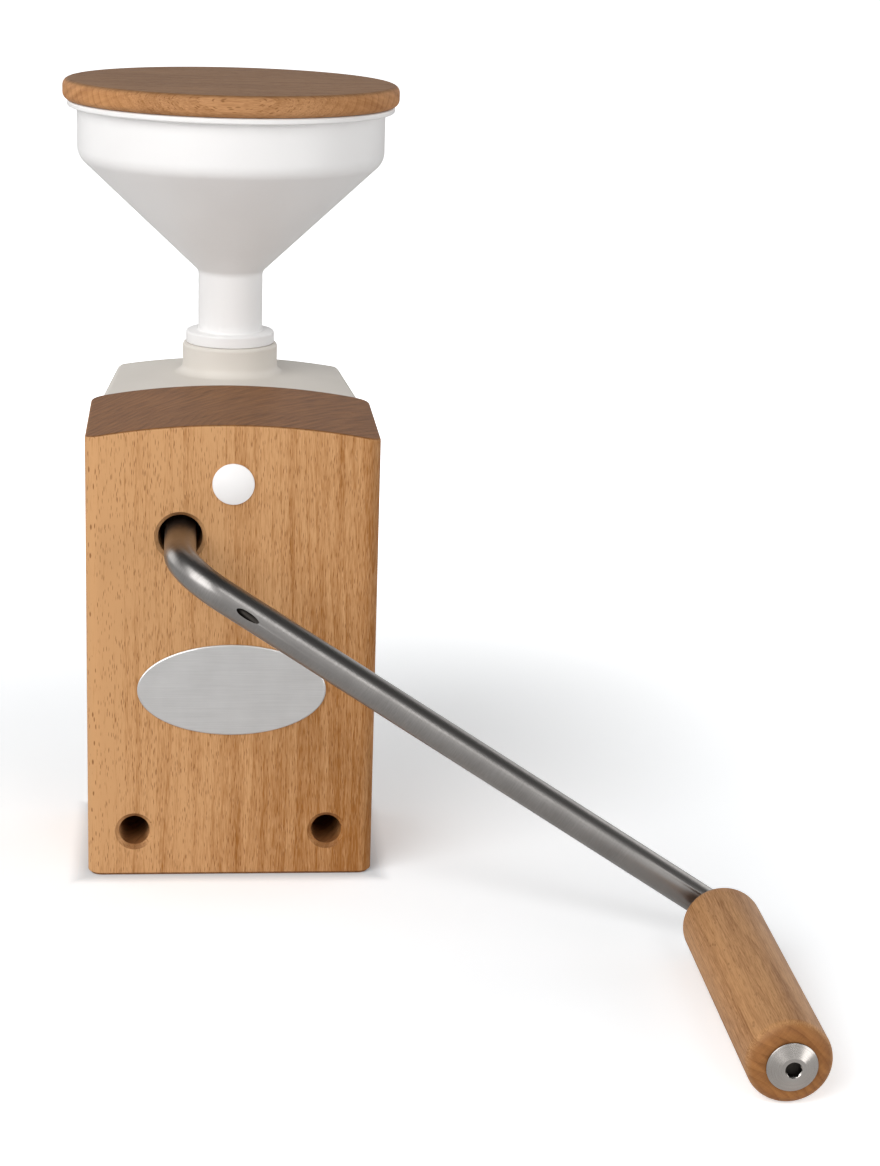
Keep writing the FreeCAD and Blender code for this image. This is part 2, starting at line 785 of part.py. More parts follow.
def make_scraper(label_bar, label_blade, side):
    """Bar between the plates with a thin blade on its sloping top, its edge under the roller."""
    slope = FreeCAD.Rotation(FreeCAD.Vector(0, 1, 0), d.scraper_slope.value)
    turn = slope if side > 0 else FreeCAD.Rotation(FreeCAD.Vector(0, 0, 1), 180) * slope
    tip_x, tip_z = scraper_point(Size(0, "0"), Size(0, "0"))
    place = (side * tip_x, unit_middle, tip_z)
    bar_top = -d.scraper_thickness
    bar_start = d.scraper_length - d.scraper_bar_width

    bar = new_body(label_bar, place, turn)
    section = new_sketch(bar, label_bar + "_section", "XZ_Plane", (plate_inner - rear_plate_front) / 2)
    draw(section, [
        (bar_start, bar_top - d.scraper_bar_height),
        (d.scraper_length, bar_top - d.scraper_bar_height),
        (d.scraper_length, bar_top),
        (bar_start, bar_top)])
    circle(section, bar_middle, bar_top - d.scraper_bar_height / 2, d.tie_screw_diameter / 2)
    pad(bar, section, rear_plate_front - plate_inner)
    blade_middle = feed_axis - unit_middle
    tapped = new_sketch(bar, label_bar + "_tapped", "XY_Plane", bar_top)
    for step in (-1, 1):
        y = side * blade_middle + step * d.scraper_screw_spacing / 2
        circle(tapped, bar_middle, y, d.scraper_screw_diameter / 2)
    pocket(bar, tapped, d.scraper_screw_length - d.scraper_thickness, name="tapped_holes")

    blade = new_body(label_blade, place, turn)
    outline = new_sketch(blade, label_blade + "_outline", "XY_Plane", bar_top)
    half = d.roller_length / 2 - d.end_float
    draw(outline, [
        (0, side * blade_middle - half),
        (d.scraper_length, side * blade_middle - half),
        (d.scraper_length, side * blade_middle + half),
        (0, side * blade_middle + half)])
    for step in (-1, 1):
        y = side * blade_middle + step * d.scraper_screw_spacing / 2
        circle(outline, bar_middle, y, d.scraper_screw_diameter / 2)
    pad(blade, outline, d.scraper_thickness)


# Screws that come in groups

def countersunk_screw(length):
    """Countersunk screw along -Z from its flat head face at the origin."""
    head = Part.makeCone(d.tie_screw_head_diameter.value / 2, d.tie_screw_diameter.value / 2,
                         (d.tie_screw_head_diameter.value - d.tie_screw_diameter.value) / 2,
                         FreeCAD.Vector(), FreeCAD.Vector(0, 0, -1))
    shank = Part.makeCylinder(d.tie_screw_diameter.value / 2, length, FreeCAD.Vector(),
                              FreeCAD.Vector(0, 0, -1))
    return head.fuse(shank)


def cheese_head_screw(diameter, length, head_diameter, head_height):
    """Cheese head screw along -Z, its head standing on the origin."""
    head = Part.makeCylinder(head_diameter / 2, head_height)
    shank = Part.makeCylinder(diameter / 2, length, FreeCAD.Vector(), FreeCAD.Vector(0, 0, -1))
    return head.fuse(shank)


def make_group(label, screw, spots, turn):
    """One node that holds the same screw at several spots."""
    group = doc.addObject("Part::Feature", label)
    group.Label = label
    copies = []
    for x, y, z in spots:
        copy = screw.copy()
        copy.Placement = FreeCAD.Placement(FreeCAD.Vector(value_of(x), value_of(y), value_of(z)), turn)
        copies.append(copy)
    group.Shape = Part.makeCompound(copies)
    group.Placement = FreeCAD.Placement()
    nodes.append(group)


def make_screws():
    """Tie screws, wood screws, scraper screws and housing screws."""
    tie = countersunk_screw(d.tie_screw_length.value)
    make_group("front_tie_screws", tie, [(x, block_back, z) for x, z in tie_spots], TO_FRONT)
    make_group("rear_tie_screws", tie, [(x, rear_plate_back, z) for x, z in tie_spots], TO_REAR)
    wood = countersunk_screw(d.plate_thickness.value + d.wood_screw_length.value)
    spots = [(side * d.wood_screw_side, plate_inner, wood_screw_z) for side in (-1, 1)]
    make_group("plate_wood_screws", wood, spots, TO_REAR)
    holding = cheese_head_screw(d.housing_screw_diameter.value, d.housing_screw_length.value,
                                d.housing_screw_head_diameter.value, d.housing_screw_head_height.value)
    make_group("housing_screws", holding, [(x, housing_back, z) for x, z in housing_spots], TO_REAR)

    small = cheese_head_screw(d.scraper_screw_diameter.value, d.scraper_screw_length.value,
                              d.scraper_screw_diameter.value * 2, d.scraper_screw_diameter.value * 0.6)
    x, z = scraper_point(bar_middle, Size(0, "0"))
    group = doc.addObject("Part::Feature", "scraper_screws")
    group.Label = "scraper_screws"
    copies = []
    for side in (-1, 1):
        slope = FreeCAD.Rotation(FreeCAD.Vector(0, 1, 0), side * d.scraper_slope.value)
        for step in (-1, 1):
            y = feed_axis.value + step * d.scraper_screw_spacing.value / 2
            copy = small.copy()
            copy.Placement = FreeCAD.Placement(FreeCAD.Vector(side * x.value, y, z.value), slope)
            copies.append(copy)
    group.Shape = Part.makeCompound(copies)
    nodes.append(group)


# Rollers and gears

def cross_holes(body, heights, length):
    """Drill pin holes through a turned piece at heights along its axis, and a length to each side."""
    crossing = new_sketch(body, body.Label + "_pin_outline", "XZ_Plane", -length)
    for height in heights:
        circle(crossing, 0, height, d.coupling_pin_diameter / 2)
    pocket(body, crossing, 2 * length, along_normal=True, name="pin_holes")


def make_roller(label, side, shaft_front, turn=TO_FRONT):
    """Fluted roller in one piece with its two journals."""
    rear_journal = rear_plate_back - roller_back
    drum_end = rear_journal + d.roller_length
    front_end = rear_plate_back - shaft_front
    body = turned_body(label, [
        (0, 0),
        (journal_radius, 0),
        (journal_radius, rear_journal),
        (roller_radius, rear_journal),
        (roller_radius, drum_end),
        (journal_radius, drum_end),
        (journal_radius, front_end),
        (0, front_end)],
        (side * roller_side, rear_plate_back, d.crank_axis_height), turn)
    chamfer(body, d.roller_chamfer, lambda edge: is_circle(edge, roller_radius), "drum_bevel")
    flute = new_sketch(body, label + "_flute", "XY_Plane", rear_journal)
    outside = roller_radius + d.flute_depth
    draw(flute, [
        (roller_radius - d.flute_depth, 0),
        (outside, -d.flute_width),
        (outside, d.flute_width)])
    cut = pocket(body, flute, d.roller_length, along_normal=True, name="flute")
    pattern = body.newObject("PartDesign::PolarPattern", label + "_flutes")
    pattern.Originals = [cut]
    pattern.Axis = (flute, ["N_Axis"])
    pattern.Angle = 360
    bind(pattern, "Occurrences", d.flute_count)
    body.Tip = pattern
    doc.recompute()
    return body


def involute_gear(phase):
    """Spur gear about the Y axis from the origin rearwards; the teeth have involute flanks.

    At radius r the half angle of a tooth is its half angle at the pitch circle plus inv(pressure
    angle) minus inv(acos(base radius / r)), where inv(angle) = tan(angle) - angle. Each flank is
    the arc through its foot, the pitch circle and its tip.
    """
    teeth = int(round(d.gear_teeth.value))
    module = d.gear_module.value
    pressure = math.radians(d.gear_pressure_angle.value)
    pitch = module * teeth / 2
    base = pitch * math.cos(pressure)
    tip = pitch + module
    foot = pitch - 1.25 * module
    half_pitch_tooth = (math.pi * module / 2 - d.gear_thinning.value) / (2 * pitch)

    def involute(angle):
        return math.tan(angle) - angle

    def half_angle(radius):
        roll = math.acos(min(base / radius, 1))
        return half_pitch_tooth + involute(pressure) - involute(roll)

    def at(radius, angle):
        return FreeCAD.Vector(radius * math.cos(angle), 0, radius * math.sin(angle))

    start = max(base, foot)
    radii = (start, pitch, tip)
    low = half_angle(start)
    edges = []
    for tooth in range(teeth):
        middle = phase + 2 * math.pi * tooth / teeth
        after = middle + 2 * math.pi / teeth
        rise = [at(radius, middle - half_angle(radius)) for radius in radii]
        fall = [at(radius, middle + half_angle(radius)) for radius in reversed(radii)]
        edges.append(Part.makeLine(at(foot, middle - low), rise[0]))
        edges.append(Part.Arc(*rise).toShape())
        edges.append(Part.Arc(rise[2], at(tip, middle), fall[0]).toShape())
        edges.append(Part.Arc(*fall).toShape())
        edges.append(Part.makeLine(fall[2], at(foot, middle + low)))
        edges.append(Part.Arc(at(foot, middle + low), at(foot, (middle + after) / 2),
                              at(foot, after - low)).toShape())
    rearward = FreeCAD.Vector(0, d.gear_width.value, 0)
    blank = Part.Face(Part.Wire(edges)).extrude(rearward)
    axis = FreeCAD.Vector(0, 1, 0)
    return blank.cut(Part.makeCylinder(journal_radius.value, d.gear_width.value, FreeCAD.Vector(), axis))


def make_gear(label, side, phase):
    """Gear pressed on the journal in front of its roller."""
    gear = doc.addObject("Part::Feature", label)
    gear.Label = label
    gear.Shape = involute_gear(phase)
    gear.Placement = FreeCAD.Placement(
        FreeCAD.Vector(side * roller_side.value, gear_front.value, d.crank_axis_height.value),
        FreeCAD.Rotation())
    bind(gear, "Placement.Base.x", side * roller_side)
    bind(gear, "Placement.Base.y", gear_front)
    bind(gear, "Placement.Base.z", d.crank_axis_height)
    nodes.append(gear)


def make_coupling():
    """Sleeve that joins the crank rod to the drive roller's journal, with its two cross pins."""
    bore = journal_radius + d.coupling_bore_play
    body = turned_body("shaft_coupling", [
        (bore, 0),
        (d.coupling_diameter / 2, 0),
        (d.coupling_diameter / 2, d.coupling_length),
        (bore, d.coupling_length)],
        (-roller_side, coupling_back, d.crank_axis_height), CRANK_TO_FRONT)
    pin_places = (d.coupling_pin_inset, d.coupling_length - d.coupling_pin_inset)
    cross_holes(body, pin_places, d.coupling_diameter)

    pins = doc.addObject("Part::Feature", "coupling_pins")
    pins.Label = "coupling_pins"
    along = CRANK_SLOPE.multVec(FreeCAD.Vector(0, 0, 1))
    copies = []
    for y in (shaft_pin_y, rod_pin_y):
        middle = FreeCAD.Vector(-roller_side.value, y.value, d.crank_axis_height.value)
        start = middle - along * (d.coupling_diameter.value / 2)
        copies.append(Part.makeCylinder(d.coupling_pin_diameter.value / 2, d.coupling_diameter.value,
                                        start, along))
    pins.Shape = Part.makeCompound(copies)
    nodes.append(pins)


# Moulded housing and feed chute

def make_housing():
    """Thin moulded shell, open to the front and below, with a collar and four screw bosses.

    Its plan narrows to the back, its top follows the arch of the block, and the hollow leaves
    one even wall.
    """
    body = new_body("roller_housing")
    front = housing_front_half
    back = housing_back_half
    plan = new_sketch(body, "housing_plan", "XY_Plane", housing_bottom)
    draw(plan, [
        (-front, block_back),
        (front, block_back),
        (back, housing_back),
        (-back, housing_back)])
    pad(body, plan, housing_crown - housing_bottom, "housing_outside")
    side = arch_height(housing_crown, front)
    above = new_sketch(body, "housing_arch_outline", "XZ_Plane", -housing_back)
    draw(above, [
        (-front, side),
        (front, side, -arch_radius),
        (front, housing_crown + d.housing_wall),
        (-front, housing_crown + d.housing_wall)])
    arched = pocket(body, above, along_normal=True, name="housing_arch")

    open_faces = []
    for index, face in enumerate(arched.Shape.Faces):
        if near(face.BoundBox.YMax, block_back) or near(face.BoundBox.ZMax, housing_bottom):
            open_faces.append("Face%d" % (index + 1))
    hollow = body.newObject("PartDesign::Thickness", "housing_hollow")
    hollow.Base = (arched, open_faces)
    hollow.Reversed = True
    hollow.Join = "Arc"
    bind(hollow, "Value", d.housing_wall)
    doc.recompute()

    def is_outer_edge(edge):
        box = edge.BoundBox
        return near(box.YMax, housing_back) and box.ZMax > housing_bottom.value + TOLERANCE

    fillet(body, d.housing_edge_radius, is_outer_edge, "housing_edges")

    reach = d.collar_diameter / 2
    collar_foot = arch_height(housing_crown, reach) - d.housing_wall / 2
    profile = new_sketch(body, "collar_profile", "XZ_Plane", -feed_axis)
    draw(profile, [
        (0, collar_foot),
        (reach + d.collar_fillet, collar_foot),
        *rounded_corner(reach, arch_height(housing_crown, reach), 180, -90, d.collar_fillet),
        *rounded_corner(reach, collar_top, 90, 90, d.collar_rim_radius),
        (0, collar_top)])
    revolve(body, profile, "collar")
    bore = new_sketch(body, "collar_bore_outline", "XY_Plane", collar_top)
    circle(bore, 0, feed_axis, d.collar_bore / 2)
    pocket(body, bore, collar_top - housing_bottom, name="collar_bore")

    bosses = new_sketch(body, "boss_outline", "XZ_Plane", -(housing_inner_back + d.housing_wall / 2))
    for x, z in housing_spots:
        circle(bosses, x, z, d.housing_boss_diameter / 2)
    pad(body, bosses, d.housing_boss_height + d.housing_wall / 2, "bosses")
    holes = new_sketch(body, "housing_hole_outline", "XZ_Plane", -housing_back)
    for x, z in housing_spots:
        circle(holes, x, z, d.housing_screw_diameter / 2 + d.housing_screw_play)
    pocket(body, holes, d.housing_wall + 2 * d.housing_boss_height, along_normal=True, name="screw_holes")


def make_chute():
    """Feed chute: a flange on the spacer rods, a round neck above and a tapering hopper below."""
    body = new_body("feed_chute")
    seat = spacer_z + d.spacer_diameter / 2
    top = seat + d.chute_flange_thickness
    reach = spacer_side + d.chute_flange_margin
    clear = roller_radius + d.chute_roller_gap
    beside = roller_side - d.chute_foot_half_width
    foot = d.crank_axis_height + root(clear * clear - beside * beside)
    flange = new_sketch(body, "chute_flange_outline", "XY_Plane", seat)
    draw(flange, [
        (-reach, plate_inner),
        (reach, plate_inner),
        (reach, rear_plate_front),
        (-reach, rear_plate_front)])
    pad(body, flange, d.chute_flange_thickness, "flange")
    neck_top = funnel_foot - d.chute_neck_gap
    neck_radius = d.collar_bore / 2 - d.chute_neck_play
    neck = new_sketch(body, "chute_neck_outline", "XY_Plane", top)
    circle(neck, 0, feed_axis, neck_radius)
    pad(body, neck, neck_top - top, "neck")

    front = roller_front + d.chute_end_gap
    back = roller_back - d.chute_end_gap
    hopper = new_sketch(body, "hopper_outline", "XZ_Plane", -back)
    draw(hopper, [
        (-d.chute_foot_half_width, foot),
        (d.chute_foot_half_width, foot),
        (d.chute_mouth_half_width, seat),
        (-d.chute_mouth_half_width, seat)])
    pad(body, hopper, back - front, "hopper")
    inner_foot = d.chute_foot_half_width - d.chute_wall
    inner_mouth = d.chute_mouth_half_width - d.chute_wall
    hollow = new_sketch(body, "hopper_hollow_outline", "XZ_Plane", -(back - d.chute_wall))
    draw(hollow, [
        (-inner_foot, foot),
        (inner_foot, foot),
        (inner_mouth, seat),
        (-inner_mouth, seat)])
    pocket(body, hollow, back - front - 2 * d.chute_wall, along_normal=True, name="hopper_hollow")
    throat = new_sketch(body, "chute_throat_outline", "XY_Plane", neck_top)
    circle(throat, 0, feed_axis, neck_radius - d.chute_wall)
    pocket(body, throat, neck_top - seat, name="throat")


# Funnel and lid

def make_funnel():
    """Thin funnel turned in one piece: spigot, seat flange, stem, cone, bowl and rim.

    The outside and the inside of the cone turn into the stem and the bowl by roundings about the
    same centres, so the wall stays even.
    """
    spigot = d.collar_bore / 2 - d.funnel_spigot_play
    stem = d.funnel_stem_diameter / 2
    bore = stem - d.funnel_stem_wall
    bowl = d.funnel_bowl_diameter / 2
    flange = d.funnel_flange_diameter / 2
    slope = d.funnel_cone_angle
    inner_bowl = bowl - d.funnel_wall
    flat_wall = d.funnel_wall / sine(slope)
    inner_foot = cone_foot + (bore + flat_wall - stem) * tangent(slope)
    inner_top = cone_foot + (inner_bowl + flat_wall - stem) * tangent(slope)
    rim_under = funnel_top - d.funnel_rim_depth
    rim_edge = d.funnel_rim_depth / 3
    turned_body("funnel", [
        (bore, funnel_foot),
        (spigot, funnel_foot),
        (spigot, funnel_seat),
        (flange, funnel_seat),
        *rounded_corner(flange, funnel_flange_top, 90, 90, d.funnel_flange_edge, 2),
        (stem, funnel_flange_top),
        *rounded_corner(stem, cone_foot, 90, slope - 90, d.funnel_throat_radius),
        *rounded_corner(bowl, cone_top, slope, 90 - slope, d.funnel_shoulder_radius),
        (bowl, rim_under),
        *rounded_corner(funnel_rim_radius, rim_under, 0, 90, rim_edge, 2),
        *rounded_corner(funnel_rim_radius, funnel_top, 90, 90, rim_edge, 2),
        (inner_bowl, funnel_top),
        *rounded_corner(inner_bowl, inner_top, 270, slope - 90, d.funnel_shoulder_radius - d.funnel_wall),
        *rounded_corner(bore, inner_foot, 180 + slope, 90 - slope, d.funnel_throat_radius + d.funnel_wall)],
        (0, feed_axis, 0), UPRIGHT)


def make_lid():
    """Wooden lid with a rebate below that drops into the bowl."""
    outer = funnel_rim_radius + d.lid_overhang
    spigot = d.funnel_bowl_diameter / 2 - d.funnel_wall - d.lid_spigot_play
    turned_body("lid", [
        (0, lid_seat - d.lid_spigot_depth),
        (spigot, lid_seat - d.lid_spigot_depth),
        (spigot, lid_seat),
        *rounded_corner(outer, lid_seat, 0, 90, d.lid_edge_radius),
        *rounded_corner(outer, lid_seat + d.lid_thickness, 90, 90, d.lid_edge_radius),
        (0, lid_seat + d.lid_thickness)],
        (0, feed_axis, 0), UPRIGHT)


# Crank rod, grip and bolt

def make_crank():
    """Bent round rod: straight through the block, one bend, then the arm out to the grip.

    The body's own XY plane holds the rod's axis and is turned about Y by the arm's slope.
    """
    body = new_body("crank_arm", (-roller_side, 0, d.crank_axis_height), CRANK_SLOPE)
    bend_x = d.rod_bend_radius * (1 - sine(d.rod_lean))
    bend_y = bend_start - d.rod_bend_radius * cosine(d.rod_lean)
    length = d.rod_straight + d.rod_end_overhang
    path = new_sketch(body, "rod_path", "XY_Plane")
    draw(path, [
        (0, rod_inner_end),
        (0, bend_start),
        (bend_x, bend_y, d.rod_bend_radius),
        (bend_x + length * cosine(d.rod_lean), bend_y - length * sine(d.rod_lean))], closed=False)
    section = new_sketch(body, "rod_section", "XZ_Plane", -rod_inner_end)
    circle(section, 0, 0, d.rod_diameter / 2)
    pipe = body.newObject("PartDesign::AdditivePipe", "rod")
    pipe.Profile = section
    pipe.Spine = (path, ["Edge1", "Edge2", "Edge3"])
    doc.recompute()
    far = bend_x + length * cosine(d.rod_lean) - d.rod_diameter
    chamfer(body, d.rod_end_bevel, lambda edge: is_circle(edge, d.rod_diameter / 2)
           and edge.CenterOfMass.x > far.value, "rod_end")

    pin_hole = new_sketch(body, "rod_pin_outline", "XY_Plane", -d.rod_diameter)
    circle(pin_hole, 0, rod_pin_y, d.coupling_pin_diameter / 2)
    pocket(body, pin_hole, 2 * d.rod_diameter, along_normal=True, name="pin_hole")

    seat = new_sketch(body, "grip_seat_outline", "XZ_Plane", -seat_y)
    circle(seat, crank_radius, 0, d.seat_diameter / 2)
    pocket(body, seat, d.rod_diameter, along_normal=True, name="grip_seat")
    tapped = new_sketch(body, "grip_hole_outline", "XZ_Plane", -seat_y)
    circle(tapped, crank_radius, 0, d.bolt_thread_diameter / 2)
    pocket(body, tapped, name="grip_hole")

    dimple_x = bend_x + d.dimple_place * cosine(d.rod_lean)
    surface = bend_y - d.dimple_place * sine(d.rod_lean) - d.rod_diameter / 2 / cosine(d.rod_lean)
    drill = body.newObject("PartDesign::SubtractiveCylinder", "dimple")
    bind(drill, "Radius", d.dimple_diameter / 2)
    bind(drill, "Height", d.rod_diameter)
    lean = FreeCAD.Vector(math.cos(math.radians(d.dimple_slope.value)),
                          -math.sin(math.radians(d.dimple_slope.value)), 0)
    drill.Placement = FreeCAD.Placement(
        FreeCAD.Vector(dimple_x.value, surface.value + d.dimple_depth.value, 0),
        FreeCAD.Rotation(FreeCAD.Vector(0, 0, 1), lean))
    bind(drill, "Placement.Base.x", dimple_x)
    bind(drill, "Placement.Base.y", surface + d.dimple_depth)
    body.Tip = drill
    doc.recompute()


def make_grip_parts():
    """Turned grip, the spacer behind it and the shoulder bolt on which it spins."""
    outer = d.grip_diameter / 2
    shoulder = d.bolt_shoulder_diameter / 2
    bore = shoulder + d.grip_bore_play
    turned_body("handle_grip", [
        (bore, 0),
        *rounded_corner(outer, 0, 0, 90, d.grip_root_radius),
        *rounded_corner(outer, d.grip_length, 90, 90, d.grip_tip_radius),
        (bore, d.grip_length)],
        (grip_x, grip_root_y, grip_z))
    turned_body("grip_spacer", [
        (bore, 0),
        (d.grip_spacer_diameter / 2, 0),
        (d.grip_spacer_diameter / 2, d.grip_spacer_length),
        (bore, d.grip_spacer_length)],
        (grip_x, seat_y, grip_z))

    thread = d.bolt_thread_diameter / 2
    head = d.bolt_head_diameter / 2
    to_seat = bolt_seat_y - seat_y
    bolt = turned_body("handle_bolt", [
        (0, to_seat - d.bolt_thread_length),
        (thread, to_seat - d.bolt_thread_length),
        (thread, to_seat),
        (shoulder, to_seat),
        (shoulder, 0),
        (head, 0),
        (head, d.bolt_head_edge),
        (d.bolt_head_flat / 2, d.bolt_head_height),
        (0, d.bolt_head_height)],
        (grip_x, bolt_seat_y, grip_z))
    socket = new_sketch(bolt, "bolt_socket_outline", "XY_Plane", d.bolt_head_height)
    hexagon(socket, d.bolt_socket)
    pocket(bolt, socket, d.bolt_socket_depth, name="socket")


# The whole flaker

make_block()
make_cap()
make_badge()
make_unit_screw()
make_front_plate()
make_rear_plate()
make_bush("bush_drive_front", -1, plate_inner + d.bush_flange_thickness, TO_FRONT)
make_bush("bush_driven_front", 1, plate_inner + d.bush_flange_thickness, TO_FRONT)
make_bush("bush_drive_rear", -1, rear_flange_front, TO_REAR)
make_bush("bush_driven_rear", 1, rear_flange_front, TO_REAR)
make_spacer("spacer_rod_left", -1)
make_spacer("spacer_rod_right", 1)
make_scraper("scraper_bar_left", "scraper_blade_left", -1)
make_scraper("scraper_bar_right", "scraper_blade_right", 1)
make_screws()
drive_roller = make_roller("drive_roller", -1, shaft_front, CRANK_TO_FRONT)
cross_holes(drive_roller, (rear_plate_back - shaft_pin_y,), d.coupling_diameter)
make_roller("driven_roller", 1, block_back + d.driven_end_recess)
make_gear("drive_gear", -1, 0)
make_gear("driven_gear", 1, math.pi + math.pi / value_of(d.gear_teeth))
make_coupling()
make_housing()
make_chute()
make_funnel()
make_lid()
make_crank()
make_grip_parts()
doc.recompute()

for item in doc.Objects:
    if "Invalid" in item.State or "Error" in item.State:
        raise RuntimeError("%s failed: %s" % (item.Label, item.State))
for node in nodes:
    if node.Shape.isNull() or not node.Shape.isValid() or not node.Shape.Solids:
        raise RuntimeError("%s has no valid solid" % node.Label)

os.makedirs("parts", exist_ok=True)
for node in nodes:
    node.Shape.exportStep("parts/%s.step" % node.Label)
print("%d nodes written" % len(nodes))
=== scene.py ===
"""Looks of a hand crank grain flaker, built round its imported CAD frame.

Sizes of pieces are in millimetres in the CAD frame: X to the right, Y to the rear, Z up, with the
origin at the centre of the wooden block's base. Meshes are written in metres.
"""

import logging
import math
from dataclasses import dataclass, field
from enum import Enum
from typing import Mapping, Optional, Sequence, Union

import bmesh
import bpy
import numpy as np
from mathutils import Matrix

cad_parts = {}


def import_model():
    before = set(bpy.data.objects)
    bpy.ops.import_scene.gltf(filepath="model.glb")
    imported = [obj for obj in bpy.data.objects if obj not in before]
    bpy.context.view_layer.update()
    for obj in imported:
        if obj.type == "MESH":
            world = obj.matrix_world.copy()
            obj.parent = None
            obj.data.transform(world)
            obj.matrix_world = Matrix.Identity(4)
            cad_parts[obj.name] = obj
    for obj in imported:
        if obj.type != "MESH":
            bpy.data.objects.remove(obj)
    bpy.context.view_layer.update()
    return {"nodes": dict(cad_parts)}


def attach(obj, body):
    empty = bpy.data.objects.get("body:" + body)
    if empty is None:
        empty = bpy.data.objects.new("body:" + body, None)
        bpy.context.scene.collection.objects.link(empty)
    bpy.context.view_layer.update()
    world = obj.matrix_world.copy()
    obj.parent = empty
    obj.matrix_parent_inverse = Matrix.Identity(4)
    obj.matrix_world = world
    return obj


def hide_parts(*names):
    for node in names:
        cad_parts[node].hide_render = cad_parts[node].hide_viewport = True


log = logging.getLogger("flaker")

MM = 0.001
Array = np.ndarray
Colour = tuple[int, int, int]
Point = tuple[float, float, float]
Number = Union[int, float]
Corner = Sequence[float]
Piece = bpy.types.Object
Material = bpy.types.Material
Socket = bpy.types.NodeSocket
# Directions, and the limits for merging a mesh in metres
FORWARD: Point = (0.0, -1.0, 0.0)
BACKWARD: Point = (0.0, 1.0, 0.0)
UPWARD: Point = (0.0, 0.0, 1.0)
MERGE = 2e-6
TOO_SHORT = 1e-7


# Shapes as arrays


def unit(vector: Corner) -> Array:
    """The vector divided by its own length."""
    array = np.asarray(vector, float)
    return array / np.linalg.norm(array)


def side_axes(axis: Point) -> tuple[Array, Array]:
    """Two unit vectors that stand square to an axis and to each other.

    Args:
        axis: The axis, as a unit vector.

    Returns:
        The two vectors. With the axis they form a right-handed set.
    """
    helper = np.array(UPWARD if abs(axis[2]) < 0.9 else BACKWARD)
    first = unit(np.cross(helper, axis))
    return first, np.cross(axis, first)


def rounded_path(corners: Sequence[Corner], step: float = 9.0, support: float = 0.2) -> Array:
    """Points of a path of straight runs whose corners are rounded.

    Where the path turns by the angle t, the rounding starts radius * tan(t / 2) before the corner,
    its centre lies one radius to the side of the turn, and its points stand at even angles. One
    more point stands just outside each end of a rounding, so that flat runs keep a flat shading.

    Args:
        corners: (x, y) or (x, y, radius) of each corner.
        step: The largest angle between two points of a rounding, in degrees.
        support: How far outside a rounding its extra points stand.

    Returns:
        The points, count by 2.
    """
    spots = [np.asarray(corner[:2], float) for corner in corners]
    runs = [spots[0][None]]
    for index in range(1, len(spots) - 1):
        spot = spots[index]
        radius = corners[index][2] if len(corners[index]) > 2 else 0.0
        if radius == 0.0:
            runs.append(spot[None])
            continue
        come, go = unit(spot - spots[index - 1]), unit(spots[index + 1] - spot)
        turn = math.atan2(come[0] * go[1] - come[1] * go[0], float(come @ go))
        setback = radius * math.tan(abs(turn) / 2)
        outward = -math.copysign(radius, turn) * np.array([-come[1], come[0]])
        start, end = spot - setback * come, spot + setback * go
        count = max(2, math.ceil(math.degrees(abs(turn)) / step))
        angles = np.linspace(0.0, abs(turn), count + 1)[:, None]
        arc = start - outward + np.cos(angles) * outward + np.sin(angles) * radius * come
        room = [np.linalg.norm(spot - spots[index - 1]), np.linalg.norm(spots[index + 1] - spot)]
        before, after = (min(support, 0.2 * max(length - setback, 0.0)) for length in room)
        runs += [(start - before * come)[None], arc, (end + after * go)[None]]
    runs.append(spots[-1][None])
    return np.concatenate(runs)


class Skin:
    """Gathers grids of points and turns them into one closed mesh."""

    def __init__(self) -> None:
        """Starts with nothing in it."""
        self.points: list[Array] = []
        self.marks: list[Array] = []
        self.faces: list[Array] = []
        self.count = 0

    def grid(self, points: Array, wrap: bool = False, marks: Optional[Array] = None) -> None:
        """Adds a grid of points, with a four-sided face between each four neighbours.

        Args:
            points: Rows by columns by 3.
            wrap: Whether the last column joins the first.
            marks: A vector for each point, which a finish can read, in the grid's own shape.
        """
        rows, columns = points.shape[:2]
        numbers = self.count + np.arange(rows * columns).reshape(rows, columns)
        if wrap:
            numbers = np.concatenate([numbers, numbers[:, :1]], axis=1)
        corners = [numbers[:-1, :-1], numbers[:-1, 1:], numbers[1:, 1:], numbers[1:, :-1]]
        self.faces.append(np.stack(corners, axis=-1).reshape(-1, 4))
        self.points.append(points.reshape(-1, 3))
        self.marks.append((np.zeros_like(points) if marks is None else marks).reshape(-1, 3))
        self.count += rows * columns

    def turned(self, profile: Array, centre: Point, axis: Point, columns: int = 96) -> None:
        """Adds a surface turned from a profile.

        A profile point (r, h) at the angle a goes to centre + r cos(a) first + r sin(a) second +
        h axis, where first and second stand square to the axis.

        Args:
            profile: (radius, height) of each point, count by 2.
            centre: Where height is zero on the axis.
            axis: The direction of growing height.
            columns: How many steps the circle has.
        """
        first, second = side_axes(axis)
        angles = np.linspace(0.0, 2 * np.pi, columns, endpoint=False)
        ring = np.cos(angles)[:, None] * first + np.sin(angles)[:, None] * second
        rise = profile[:, None, 1:] * np.asarray(axis)
        self.grid(np.asarray(centre) + profile[:, None, :1] * ring + rise, wrap=True)

    def piece(self, name: str, sharp: float = 30.0) -> Piece:
        """Writes the grids as one object, with coinciding points merged and faces outwards.

        Args:
            name: The object's name.
            sharp: Edges that turn by more than this angle, in degrees, stay sharp.

        Returns:
            The object, at the origin.
        """
        mesh = bpy.data.meshes.new(name)
        points = np.concatenate(self.points) * MM
        mesh.from_pydata(points.tolist(), [], np.concatenate(self.faces).tolist())
        marks = mesh.attributes.new("skin", "FLOAT_VECTOR", "POINT")
        marks.data.foreach_set("vector", np.concatenate(self.marks).ravel().astype(np.float32))
        made = bpy.data.objects.new(name, mesh)
        bpy.context.scene.collection.objects.link(made)
        close_up(mesh, sharp)
        return made


